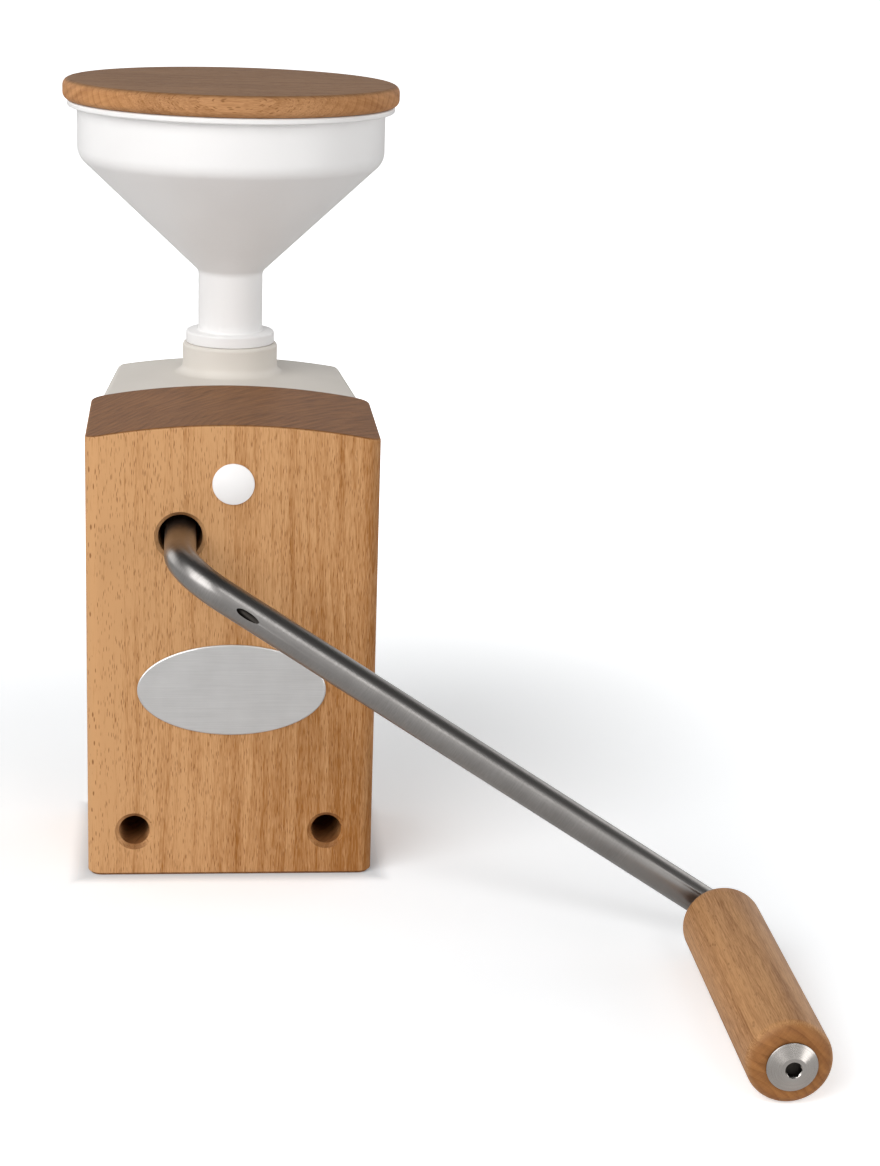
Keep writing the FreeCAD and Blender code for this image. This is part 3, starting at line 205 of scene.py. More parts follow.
def close_up(mesh: bpy.types.Mesh, sharp: float) -> None:
    """Merges points that coincide, turns faces outwards and sets smooth and sharp edges.

    Args:
        mesh: The mesh, which is changed.
        sharp: Edges that turn by more than this angle, in degrees, stay sharp.
    """
    work = bmesh.new()
    work.from_mesh(mesh)
    bmesh.ops.remove_doubles(work, verts=work.verts, dist=MERGE)
    bmesh.ops.dissolve_degenerate(work, edges=work.edges, dist=TOO_SHORT)
    bmesh.ops.recalc_face_normals(work, faces=work.faces)
    work.to_mesh(mesh)
    work.free()
    mesh.shade_smooth()
    mesh.set_sharp_from_angle(angle=math.radians(sharp))


def turned_piece(
    name: str, profile: Array, centre: Point, axis: Point, columns: int = 96
) -> Piece:
    """One object turned from a profile, as Skin.turned says.

    Args:
        name: The object's name.
        profile: (radius, height) of each point.
        centre: Where height is zero on the axis.
        axis: The direction of growing height.
        columns: How many steps the circle has.

    Returns:
        The object.
    """
    skin = Skin()
    skin.turned(np.asarray(profile, float), centre, axis, columns)
    return skin.piece(name)


def closed(profile: Array) -> Array:
    """A profile with its first point again at its end, as a bored piece needs it."""
    return np.concatenate([profile, profile[:1]])


def prism(
    outline: Array, centre: Point, axis: Point, depth: float, taper: float = 1.0, past: float = 0.6
) -> Piece:
    """A straight cutter with a given outline: centre + u first + v second, at both of its ends.

    Args:
        outline: (u, v) of each corner, count by 2.
        centre: The middle of the hole's open end.
        axis: The direction out of the hole.
        depth: The hole's depth.
        taper: The size of the hole's floor as a share of its open end.
        past: How far the cutter stands out of the hole.

    Returns:
        The cutter.
    """
    first, second = side_axes(axis)
    flat = outline[:, :1] * first + outline[:, 1:] * second
    levels = [(0.0, -depth), (taper, -depth), (1.0, 0.0), (1.0, past), (0.0, past)]
    rows = [centre + share * flat + height * np.asarray(axis) for share, height in levels]
    skin = Skin()
    skin.grid(np.stack(rows), wrap=True)
    return skin.piece("cutter")


def hexagon(across: float) -> Array:
    """Corners of a hexagon: six points at across / sqrt(3) from its middle."""
    angles = np.radians(np.arange(0, 360, 60))
    return across / math.sqrt(3) * np.stack([np.cos(angles), np.sin(angles)], -1)


def cross(length: float, width: float) -> Array:
    """Corners of a cross of two bars: one quarter's three corners, turned by right angles.

    Args:
        length: The length of each bar.
        width: The width of each bar.

    Returns:
        (u, v) of each corner, 12 by 2.
    """
    arm, half = length / 2, width / 2
    turn = np.array([[0.0, 1.0], [-1.0, 0.0]])
    quarter = np.array([(arm, -half), (arm, half), (half, half)])
    return np.concatenate([quarter @ np.linalg.matrix_power(turn, count) for count in range(4)])


def carve(
    piece: Piece,
    cutters: Sequence[Piece],
    finish: Material,
    bosses: Sequence[Piece] = (),
    sharp: float = 30.0,
) -> None:
    """Cuts shapes out of a piece for good, and removes the cutters.

    Args:
        piece: The piece, whose mesh is replaced.
        cutters: The closed shapes to take away.
        finish: The finish of the piece, and of each hole whose cutter has none of its own.
        bosses: Closed shapes that are joined to the piece first.
        sharp: Edges that turn by more than this angle, in degrees, stay sharp.
    """
    dress(piece, finish)
    for cutter in [*bosses, *cutters]:
        if not cutter.data.materials:
            dress(cutter, finish)
        cut = piece.modifiers.new("cut", "BOOLEAN")
        cut.operation = "UNION" if cutter in bosses else "DIFFERENCE"
        cut.solver = "EXACT"
        cut.material_mode = "TRANSFER"
        cut.object = cutter
    graph = bpy.context.evaluated_depsgraph_get()
    carved = bpy.data.meshes.new_from_object(piece.evaluated_get(graph))
    piece.modifiers.clear()
    before, piece.data = piece.data, carved
    bpy.data.meshes.remove(before)
    for cutter in [*bosses, *cutters]:
        bpy.data.meshes.remove(cutter.data)
    close_up(carved, sharp)


def dress(piece: Piece, finish: Material) -> Piece:
    """Gives a whole piece one finish, and hands the piece on.

    Args:
        piece: The piece.
        finish: Its finish.

    Returns:
        The same piece.
    """
    piece.data.materials.clear()
    piece.data.materials.append(finish)
    return piece


# Finishes


def linear(colour: Colour) -> tuple[float, float, float, float]:
    """A screen colour as the linear colour that a socket takes.

    A share s of full light is s / 12.92 up to 0.04045, and ((s + 0.055) / 1.055) ^ 2.4 above it.

    Args:
        colour: Red, green and blue, 0 to 255.

    Returns:
        The linear colour with alpha 1.
    """
    share = np.asarray(colour, float) / 255
    plain = np.where(share <= 0.04045, share / 12.92, ((share + 0.055) / 1.055) ** 2.4)
    return (*plain.tolist(), 1.0)


def grey(level: float) -> tuple[float, float, float, float]:
    """A linear grey with alpha 1."""
    return (level, level, level, 1.0)


class Signal:
    """A number that comes out of a socket. Python's own operators on it add Math nodes."""

    def __init__(self, shader: "Shader", socket: Socket) -> None:
        """Keeps the shader and the socket."""
        self.shader = shader
        self.socket = socket

    def math(self, operation: str, *others: Union["Signal", Number]) -> "Signal":
        """This number and others through one Math node."""
        return self.shader.math(operation, self, *others)

    def __add__(self, other: Union["Signal", Number]) -> "Signal":
        """Sum."""
        return self.math("ADD", other)

    __radd__ = __add__

    def __sub__(self, other: Union["Signal", Number]) -> "Signal":
        """Difference."""
        return self.math("SUBTRACT", other)

    def __rsub__(self, other: Number) -> "Signal":
        """Difference with a plain number first."""
        return self.shader.math("SUBTRACT", other, self)

    def __mul__(self, other: Union["Signal", Number]) -> "Signal":
        """Product."""
        return self.math("MULTIPLY", other)

    __rmul__ = __mul__

    def __truediv__(self, other: Union["Signal", Number]) -> "Signal":
        """Quotient."""
        return self.math("DIVIDE", other)

    def __rtruediv__(self, other: Number) -> "Signal":
        """Quotient with a plain number first."""
        return self.shader.math("DIVIDE", other, self)

    def __pow__(self, other: Union["Signal", Number]) -> "Signal":
        """Power."""
        return self.math("POWER", other)

    def step(self, low: Number, high: Number) -> "Signal":
        """A smooth step in this number.

        Args:
            low: Where the step starts, at 0.
            high: Where it ends, at 1.

        Returns:
            The step.
        """
        sockets = {"Value": self, "From Min": low, "From Max": high}
        ramp = self.shader.node("ShaderNodeMapRange", {"interpolation_type": "SMOOTHSTEP"}, sockets)
        return Signal(self.shader, ramp.outputs[0])


Value = Union[Signal, Number]
Link = Union[Signal, Socket, Number, str, Sequence[Number]]


class Shader:
    """Builds the nodes of one material or world."""

    def __init__(self, tree: bpy.types.NodeTree) -> None:
        """Starts with an empty tree."""
        self.tree = tree
        tree.nodes.clear()

    @classmethod
    def material(cls, name: str) -> tuple["Shader", Material]:
        """Makes a material.

        Args:
            name: The material's name.

        Returns:
            The builder of its nodes, and the material.
        """
        made = bpy.data.materials.new(name)
        made.use_nodes = True
        return cls(made.node_tree), made

    def node(
        self,
        kind: str,
        settings: Optional[Mapping[str, object]] = None,
        sockets: Optional[Mapping[Union[int, str], Link]] = None,
    ) -> bpy.types.Node:
        """Adds one node.

        Args:
            kind: Blender's name of the node's type.
            settings: The node's own properties, which are set first. "stops" gives a ramp's stops.
            sockets: Values or links of inputs, by name or number.

        Returns:
            The node.
        """
        made = self.tree.nodes.new(kind)
        for key, value in (settings or {}).items():
            setattr(made, key, value)
        for key, value in (sockets or {}).items():
            if isinstance(value, Signal):
                value = value.socket
            if isinstance(value, Socket):
                self.tree.links.new(value, made.inputs[key])
            else:
                made.inputs[key].default_value = value
        return made

    def math(self, operation: str, *values: Value) -> Signal:
        """One Math node on numbers and signals."""
        made = self.node("ShaderNodeMath", {"operation": operation}, dict(enumerate(values)))
        return Signal(self, made.outputs[0])

    def split(self, vector: Socket, scale: float = 1.0) -> list[Signal]:
        """The parts of a vector.

        Args:
            vector: The socket that gives the vector.
            scale: What each part is multiplied by.

        Returns:
            Its three parts.
        """
        sockets = {0: vector, 1: (scale,) * 3}
        scaled = self.node("ShaderNodeVectorMath", {"operation": "MULTIPLY"}, sockets)
        parts = self.node("ShaderNodeSeparateXYZ", sockets={0: scaled.outputs[0]})
        return [Signal(self, out) for out in parts.outputs]

    def join(self, parts: Sequence[Value]) -> Socket:
        """A vector of three numbers."""
        return self.node("ShaderNodeCombineXYZ", sockets=dict(enumerate(parts))).outputs[0]

    def place(self) -> list[Signal]:
        """X, Y and Z on the piece, in millimetres."""
        return self.split(self.node("ShaderNodeTexCoord").outputs["Object"], 1 / MM)

    def noise(self, parts: Sequence[Value], detail: float = 2.0, roughness: float = 0.5) -> Signal:
        """Soft noise from 0 to 1, about 0.5, with cells one unit wide."""
        sockets = dict(Vector=self.join(parts), Scale=1.0, Detail=detail, Roughness=roughness)
        return Signal(self, self.node("ShaderNodeTexNoise", sockets=sockets).outputs[0])

    def cells(self, parts: Sequence[Value]) -> Signal:
        """Distance to the middle of the nearest random cell, with cells one unit wide."""
        sockets = {"Vector": self.join(parts), "Scale": 1.0}
        return Signal(self, self.node("ShaderNodeTexVoronoi", sockets=sockets).outputs[0])

    def blend(
        self, factor: Value, first: Link, second: Link, kind: str = "MIX"
    ) -> Socket:
        """First colour where factor is 0, second where it is 1."""
        settings = {"data_type": "RGBA", "blend_type": kind, "clamp_factor": True}
        return self.node("ShaderNodeMix", settings, {0: factor, 6: first, 7: second}).outputs[2]

    def bump(self, height: Signal, depth: float, strength: float = 1.0) -> Socket:
        """Normals of a relief whose height is 0 to 1 times depth, in millimetres."""
        sockets = {"Height": height, "Distance": depth * MM, "Strength": strength}
        return self.node("ShaderNodeBump", sockets=sockets).outputs[0]

    def surface(self, sockets: Mapping[Union[int, str], Link]) -> None:
        """Ends the tree with the general surface shader."""
        body = self.node("ShaderNodeBsdfPrincipled", sockets=sockets)
        self.node("ShaderNodeOutputMaterial", sockets={"Surface": body.outputs[0]})


class Grain(Enum):
    """Which way wood fibres run, as the order of axes: across, radial, along."""

    UPRIGHT = (0, 1, 2)
    SIDEWAYS = (1, 2, 0)
    FORWARD = (0, 2, 1)


@dataclass(frozen=True)
class Beech:
    """Oiled beech: growth rings about the trunk's middle, ray flecks and fine fibres.

    The rays run along the radial direction, turned by ray_turn degrees from the across axis.
    The tone also rises by a set amount per millimetre across and along: painted shade that
    darkens the wood steadily away from the light.
    """

    name: str
    grain: Grain
    middle: tuple[float, float]
    ray_turn: float
    light: Colour
    dark: Colour
    fleck: Colour
    end: Colour
    end_dark: Colour
    ring: float = 3.2
    fibre: float = 0.16
    speck: float = 0.75
    # painted shade: a top colour multiplies the faces that look upward, darkening them as if less
    # lit
    top: Optional[Colour] = None
    painted_shade_slope: tuple[float, float] = (0.0, 0.0)
    roughness: float = 0.5
    gloss: float = 0.2

    def material(self) -> Material:
        """The wood's material.

        Rings are the fraction of the distance from the trunk's middle divided by their width, to
        the third power. Flecks are where the distance to a stretched random cell's middle is small.

        Returns:
            The material.
        """
        shader, made = Shader.material(self.name)
        place = shader.place()
        across, radial, along = (place[axis] for axis in self.grain.value)
        turn = math.radians(self.ray_turn)
        inward = across * math.cos(turn) + radial * math.sin(turn)
        aside = radial * math.cos(turn) - across * math.sin(turn)

        sway = shader.noise([inward * 0.03, aside * 0.03, along * 0.005], 1.0) - 0.5
        reach = ((across - self.middle[0]) ** 2 + (radial - self.middle[1]) ** 2) ** 0.5
        late = ((reach + sway * 16.0) / self.ring).math("FRACT") ** 3
        band = shader.noise([across * 0.2, radial * 0.1, along * 0.006], 2.0, 0.6)
        fibre = shader.noise([across * 2.6, radial * 2.6, along * self.fibre], 2.0, 0.65)
        patch = shader.noise([across * 0.05, radial * 0.05, along * 0.02], 1.0)
        # painted shade: the tone rises steadily across and along, darkening the wood away from the
        # light
        painted_shade_slope = across * self.painted_shade_slope[0] + along * self.painted_shade_slope[1]
        tone = late * 0.28 + (band - 0.5) * 1.3 + (fibre - 0.5) * 1.9 + (patch - 0.5) * 0.5
        tone = tone + painted_shade_slope + 0.34
        wood = shader.blend(tone, linear(self.light), linear(self.dark))

        bend = shader.noise([across * 0.4, radial * 0.4, along * 0.3], 1.0) - 0.5
        cell = shader.cells([aside * 3.1 + bend * 0.6, inward * 0.4, along * 0.2])
        size = patch * 0.14 + 0.19
        fleck = 1.0 - (cell / size).step(0.5, 1.15)
        wood = shader.blend(fleck * self.speck, wood, linear(self.fleck))

        normal = shader.split(shader.node("ShaderNodeTexCoord").outputs["Normal"])
        ended = normal[self.grain.value[2]].math("ABSOLUTE").step(0.35, 0.85)
        pore = shader.noise([across * 4.0, radial * 4.0, along * 4.0], 2.0, 0.6)
        streak = shader.noise([inward * 0.45, aside * 0.05, along * 0.05], 2.0, 0.6)
        ray = shader.noise([aside * 2.2, inward * 0.1, along * 0.1], 2.0, 0.6)
        worn = late * 0.3 + (streak - 0.5) * 1.5 + (ray - 0.5) * 0.6 + (pore - 0.5) * 0.6
        worn = worn + 0.35
        cut = shader.blend(worn, linear(self.end), linear(self.end_dark))
        wood = shader.blend(ended * 0.95, wood, cut)
        # painted shade: faces that look upward are multiplied by the top colour
        if self.top is not None:
            wood = shader.blend(normal[2].step(0.6, 1.0), wood, linear(self.top), "MULTIPLY")

        rough = (fibre - 0.5) * 0.16 + fleck * 0.05 + self.roughness
        relief = fibre * 0.7 - fleck * 0.6 + pore * ended * 0.5
        shader.surface({
            "Base Color": wood,
            "Roughness": rough,
            "Specular IOR Level": self.gloss,
            "Normal": shader.bump(relief, 0.04, 0.7)})
        return made


@dataclass(frozen=True)
class Plastic:
    """Moulded plastic with a fine grain from the mould."""

    name: str
    colour: Colour
    shade: Colour
    roughness: float
    grain: float = 5.0
    depth: float = 0.012
    coat: float = 0.0

    def material(self) -> Material:
        """Builds the material: soft cloudy tone, and a fine grain in gloss and relief.

        Returns:
            The material.
        """
        shader, made = Shader.material(self.name)
        x, y, z = shader.place()
        cloud = shader.noise([x * 0.025, y * 0.025, z * 0.025], 2.0)
        grain = shader.noise([x * self.grain, y * self.grain, z * self.grain], 2.0, 0.6)
        tone = (cloud - 0.5) * 1.4 + (grain - 0.5) * 0.25 + 0.4
        shader.surface({
            "Base Color": shader.blend(tone, linear(self.colour), linear(self.shade)),
            "Roughness": (grain - 0.5) * 0.15 + (cloud - 0.5) * 0.08 + self.roughness,
            "Coat Weight": self.coat,
            "Coat Roughness": 0.2,
            "Normal": shader.bump(grain, self.depth, 0.5)})
        return made


class Brush(Enum):
    """The way in which a metal surface was worked."""

    LEVEL = "straight lines to the right"
    WRAPPED = "fine lines round a bent rod"
    TURNED = "rings about an axis through the piece"
    MILLED = "short upright lines"


@dataclass(frozen=True)
class Metal:
    """Bare metal with the fine lines that its working left."""

    name: str
    colour: Colour
    shade: Colour
    roughness: float
    brush: Brush
    middle: tuple[float, float] = (0.0, 0.0)
    contrast: float = 1.0
    depth: float = 0.004

    def lines(self, shader: Shader) -> Signal:
        """Noise that is drawn out along the lines.

        Args:
            shader: The builder of the material's nodes.

        Returns:
            The noise, about 0.5.
        """
        x, y, z = shader.place()
        if self.brush is Brush.LEVEL:
            return shader.noise([x * 0.05, y * 7.0, z * 7.0], 3.0, 0.65)
        if self.brush is Brush.WRAPPED:
            marks = shader.node("ShaderNodeAttribute", {"attribute_name": "skin"})
            side, up, length = shader.split(marks.outputs["Vector"])
            return shader.noise([side * 0.25, up * 0.25, length * 6.0], 3.0, 0.65)
        if self.brush is Brush.TURNED:
            reach = ((x - self.middle[0]) ** 2 + (z - self.middle[1]) ** 2) ** 0.5
            return shader.noise([reach * 6.0, y * 3.0, z * 0.2], 2.0, 0.65)
        return shader.noise([x * 4.0, y * 4.0, z * 0.35], 3.0, 0.65)

    def material(self) -> Material:
        """Builds the material: lines and a soft cloud in tone, gloss and relief.

        Returns:
            The material.
        """
        shader, made = Shader.material(self.name)
        x, y, z = shader.place()
        lines = self.lines(shader)
        cloud = shader.noise([x * 0.08, y * 0.08, z * 0.08], 2.0)
        tone = (lines - 0.5) * self.contrast + (cloud - 0.5) * 0.6 + 0.5
        shader.surface({
            "Base Color": shader.blend(tone, linear(self.colour), linear(self.shade)),
            "Metallic": 1.0,
            "Roughness": (lines - 0.5) * 0.22 + (cloud - 0.5) * 0.06 + self.roughness,
            "Normal": shader.bump(lines, self.depth, 0.5)})
        return made


@dataclass
class Finishes:
    """Every finish of the flaker, made once."""

    # painted shade: the block's tone darkens towards the right and towards its foot
    block: Beech = Beech(
        "oiled_beech", Grain.UPRIGHT, (126.0, -98.0), -38.0,
        light=(203, 155, 108), dark=(153, 99, 49), fleck=(120, 72, 36),
        end=(142, 95, 56), end_dark=(95, 60, 33), painted_shade_slope=(0.006, -0.0015), gloss=0.08)
    # painted shade: the lid's upward faces are darkened by the top colour
    lid: Beech = Beech(
        "lid_beech", Grain.SIDEWAYS, (150.0, 230.0), 70.0,
        light=(190, 141, 97), dark=(146, 100, 62), fleck=(114, 73, 42),
        end=(200, 146, 96), end_dark=(142, 90, 50), top=(212, 214, 216), roughness=0.55, gloss=0.08)
    grip: Beech = Beech(
        "grip_beech", Grain.FORWARD, (150.0, -20.0), 50.0,
        light=(196, 147, 99), dark=(142, 95, 54), fleck=(104, 65, 34),
        end=(166, 112, 62), end_dark=(118, 72, 36), fibre=0.12, speck=0.35, gloss=0.22)
    white: Plastic = Plastic("white_plastic", (240, 239, 238), (233, 231, 230), 0.4, coat=0.08)
    cap: Plastic = Plastic("cap_plastic", (246, 244, 243), (240, 238, 237), 0.34, coat=0.12)
    housing: Plastic = Plastic("housing_plastic", (221, 215, 207), (209, 203, 194), 0.55, 3.5, 0.02)
    chute: Plastic = Plastic("chute_plastic", (226, 226, 221), (214, 214, 208), 0.5)
    rod: Metal = Metal("satin_rod", (158, 155, 152), (122, 119, 117), 0.33, Brush.WRAPPED)
    badge: Metal = Metal("brushed_badge", (222, 221, 220), (192, 191, 190), 0.42, Brush.LEVEL)
    bolt: Metal = Metal(
        "turned_bolt", (196, 191, 186), (150, 145, 140), 0.22, Brush.TURNED, (179.6, 15.04),
        depth=0.02)
    # painted shade: the walls of the rod's dimple, the bolt's socket and the screws' cross slots
    # get this dark metal, which stands in for the shade inside those hollows
    recess_shade: Metal = Metal("painted_recess_shade", (64, 60, 56), (40, 38, 36), 0.5, Brush.MILLED)
    plates: Metal = Metal("milled_plate", (190, 192, 194), (166, 168, 170), 0.42, Brush.MILLED)
    rollers: Metal = Metal("fluted_steel", (150, 151, 153), (118, 119, 121), 0.35, Brush.MILLED)
    gears: Metal = Metal("gear_steel", (138, 138, 140), (108, 108, 110), 0.4, Brush.MILLED)
    bronze: Metal = Metal("sintered_bronze", (186, 142, 86), (150, 108, 60), 0.5, Brush.MILLED)
    screws: Metal = Metal("plated_screws", (196, 197, 200), (168, 169, 172), 0.3, Brush.MILLED)
    blades: Metal = Metal("spring_steel", (186, 188, 191), (158, 160, 163), 0.28, Brush.LEVEL)

    made: dict[str, Material] = field(default_factory=dict)

    def of(self, name: str) -> Material:
        """Gives a finish's material, made when it is first asked for.

        Args:
            name: The finish's field.

        Returns:
            The material.
        """
        if name not in self.made:
            self.made[name] = getattr(self, name).material()
        return self.made[name]


def settle(piece: Piece, body: str, slot: str, *nodes: str) -> Piece:
    """Says what a finished piece rides on and the CAD nodes that it stands for.

    Args:
        piece: The finished piece.
        body: The CAD body that carries it.
        slot: The record's material slot. Not used.
        nodes: The CAD nodes that it replaces.

    Returns:
        The same piece.
    """
    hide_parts(*nodes)
    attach(piece, body)
    count = len(piece.data.polygons)
    log.info("%s: %d faces, on %s, for %s", piece.name, count, body, ", ".join(nodes))
    return piece


# The wooden block and what is fixed to its front


@dataclass
class Block:
    """Beech block with its arched top and holes, the cap of the screw hole and the oval plate."""

    finishes: Finishes
    width: float = 112.0
    depth: float = 74.0
    crown: float = 182.5
    arch_radius: float = 287.8
    edge_radius: float = 5.5
    top_edge: float = 0.9
    base_bevel: float = 1.2
    past: float = 3.0
    crank_axis: tuple[float, float] = (-20.0, 138.8)
    crank_bore: tuple[float, float] = (8.5, 1.4)
    coupling_recess: tuple[float, float] = (15.0, -3.0)
    clamp_bore: tuple[float, float] = (6.0, 1.6)
    clamp_end: float = 25.0
    clamp_axis: tuple[float, float] = (37.75, 18.7)
    wood_screw: tuple[float, float] = (2.0, 7.0)
    wood_screw_axis: tuple[float, float] = (22.0, 106.0)
    cap_axis: tuple[float, float] = (0.0, 159.7)
    cap_hole_end: float = -11.0
    unit_screw_bore: float = 3.5
    cap_radius: float = 8.0
    cap_rise: float = 2.4
    cap_lip: float = 0.6
    cap_stem: tuple[float, float] = (4.4, 6.0)
    cap_stem_length: float = 8.0
    badge_height: float = 77.5
    badge_half: tuple[float, float] = (36.5, 18.35)
    badge_thickness: float = 0.8

    def arch(self, x: Array) -> Array:
        """Height of the top: crown - R + sqrt(R * R - x * x)."""
        return self.crown - self.arch_radius + np.sqrt(self.arch_radius**2 - x**2)

    def outline(self) -> tuple[Array, Array]:
        """The block's plan as inner points and outward directions.

        The plan inset by e is inner + (edge radius - e) * outward. Each corner's inner point
        stays at the rounding's centre while outward turns through a right angle.

        Returns:
            Inner points and outward directions, each count by 2.
        """
        half = np.array([self.width / 2, self.depth / 2]) - self.edge_radius
        signs = np.array([(-1, -1), (1, -1), (1, 1), (-1, 1)])
        inner, outward = [], []
        for quarter, steps in enumerate((28, 14, 28, 14)):
            before, corner = half * signs[quarter], half * signs[(quarter + 1) % 4]
            angles = np.radians(np.linspace(-90, 0, 11) + 90 * quarter)
            turned = np.stack([np.cos(angles), np.sin(angles)], -1)
            even = np.linspace(0, 1, steps + 1)[1:-1]
            share = np.concatenate([[0.006], even, [0.994]])[:, None]
            inner += [before + share * (corner - before), np.repeat(corner[None], 11, axis=0)]
            outward += [np.repeat(turned[:1], len(share), axis=0), turned]
        return np.concatenate(inner), np.concatenate(outward)

    def build_block(self) -> Piece:
        """The block, with its holes.

        Rows run from the middle of the base over its bevel, up the sides in even shares of the
        height below the arch, round the top edge, and in shrinking rings to the crown.

        Returns:
            The piece.
        """
        inner, outward = self.outline()

        def ring(inset: float, share: float = 1.0) -> Array:
            """The plan inset by a distance, drawn in to a share of its size."""
            return share * (inner + (self.edge_radius - inset) * outward)

        def at(plan: Array, height: Union[Array, float]) -> Array:
            """The plan's points at a height."""
            return np.column_stack([plan, np.broadcast_to(height, len(plan))])

        rows = [at(ring(self.base_bevel, share), 0.0) for share in (0.0, 0.5, 0.99, 1.0)]
        rim = ring(0.0)
        below = self.arch(rim[:, 0]) - self.top_edge
        for share in (0.0, 0.003, 0.25, 0.5, 0.75, 0.998, 1.0):
            rows.append(at(rim, self.base_bevel + share * (below - self.base_bevel)))
        for angle in np.radians([22.5, 45.0, 67.5, 90.0]):
            plan = ring(self.top_edge * (1 - math.cos(angle)))
            rows.append(at(plan, self.arch(plan[:, 0]) - self.top_edge * (1 - math.sin(angle))))
        for share in (0.99, 0.9, 0.78, 0.65, 0.5, 0.35, 0.2, 0.08, 0.0):
            plan = ring(self.top_edge, share)
            rows.append(at(plan, self.arch(plan[:, 0])))
        skin = Skin()
        skin.grid(np.stack(rows), wrap=True)
        piece = skin.piece("block_beech")
        carve(piece, self.hole_cutters(), self.finishes.of("block"))
        return settle(piece, "frame", "beech", "wooden_block")

    def front_bore(self, size: tuple[float, float], end: float) -> list[Corner]:
        """Profile of a bore from the front, whose mouth has a bevel at half a right angle.

        Args:
            size: The bore's radius and its bevel.
            end: Where the bore ends, on the way to the rear.

        Returns:
            The profile's corners, without the last one on the axis.
        """
        radius, bevel = size
        out, wide = self.depth / 2 + self.past, radius + bevel + self.past
        return [(0, -out), (wide, -out), (radius, bevel - self.depth / 2), (radius, end)]

    def hole_cutters(self) -> list[Piece]:
        """Turns the shapes of the crank hole, cap hole, clamp bores and wood screw holes.

        Returns:
            The cutters.
        """
        out = self.depth / 2 + self.past
        wide, start = self.coupling_recess
        crank = [*self.front_bore(self.crank_bore, start), (wide, start), (wide, out), (0, out)]
        stem, screw, floor = self.cap_stem[1], self.unit_screw_bore, self.cap_hole_end
        cap = [(0, -out), (stem, -out), (stem, floor), (screw, floor), (screw, out), (0, out)]
        clamp = [*self.front_bore(self.clamp_bore, self.clamp_end), (0, self.clamp_end)]
        radius, end = self.wood_screw
        wood = [(0, end), (radius, end), (radius, out), (0, out)]
        holes = [(crank, self.crank_axis), (cap, self.cap_axis)]
        for shape, (x, z) in ((clamp, self.clamp_axis), (wood, self.wood_screw_axis)):
            holes += [(shape, (-x, z)), (shape, (x, z))]
        return [turned_piece("cutter", shape, (x, 0.0, z), BACKWARD, 64) for shape, (x, z) in holes]

    def build_cap(self) -> Piece:
        """The domed cap on its hollow stem.

        At radius r the dome lies R - sqrt(R * R - r * r) below its top.

        Returns:
            The piece.
        """
        dome = self.cap_rise - self.cap_lip
        edge, (bore, stem), length = self.cap_radius, self.cap_stem, self.cap_stem_length
        radius = (edge**2 + dome**2) / (2 * dome)
        reach = np.linspace(edge - 0.5, 0.0, 14)
        crown = np.stack([reach, self.cap_rise - radius + np.sqrt(radius**2 - reach**2)], -1)
        foot = [(0, 0), (bore, 0), (bore, -length), (stem, -length), (stem, 0), (edge, 0, 0.2),
                (edge, self.cap_lip, 0.3)]
        profile = np.concatenate([rounded_path([*foot, tuple(crown[0])])[:-1], crown])
        place = (self.cap_axis[0], -self.depth / 2, self.cap_axis[1])
        piece = turned_piece("screw_cap", profile, place, FORWARD, 72)
        dress(piece, self.finishes.of("cap"))
        return settle(piece, "frame", "white_plastic", "cap_plug")

    def build_badge(self) -> Piece:
        """The bare oval plate: an ellipse whose front edge is bevelled.

        A point at the angle a and inset e is ((A - e) cos a, (B - e) sin a).

        Returns:
            The piece.
        """
        angles = np.linspace(0, 2 * np.pi, 160, endpoint=False)
        back = -self.depth / 2
        front = back - self.badge_thickness
        rows = [(0.0, 0.0, back), (0.0, 0.98, back), (0.0, 1.0, back), (0.0, 1.0, front + 0.3),
                (0.03, 1.0, front + 0.22), (0.36, 1.0, front + 0.04), (0.45, 1.0, front),
                (0.45, 0.985, front), (0.45, 0.6, front), (0.45, 0.0, front)]
        inset, share, y = (np.array(column)[:, None] for column in zip(*rows))
        across = share * (self.badge_half[0] - inset) * np.cos(angles)
        height = self.badge_height + share * (self.badge_half[1] - inset) * np.sin(angles)
        skin = Skin()
        skin.grid(np.stack(np.broadcast_arrays(across, y, height), -1), wrap=True)
        piece = dress(skin.piece("oval_plate", sharp=16.0), self.finishes.of("badge"))
        return settle(piece, "frame", "badge_metal", "badge_plate")


# The crank: rod, spacer, grip and bolt


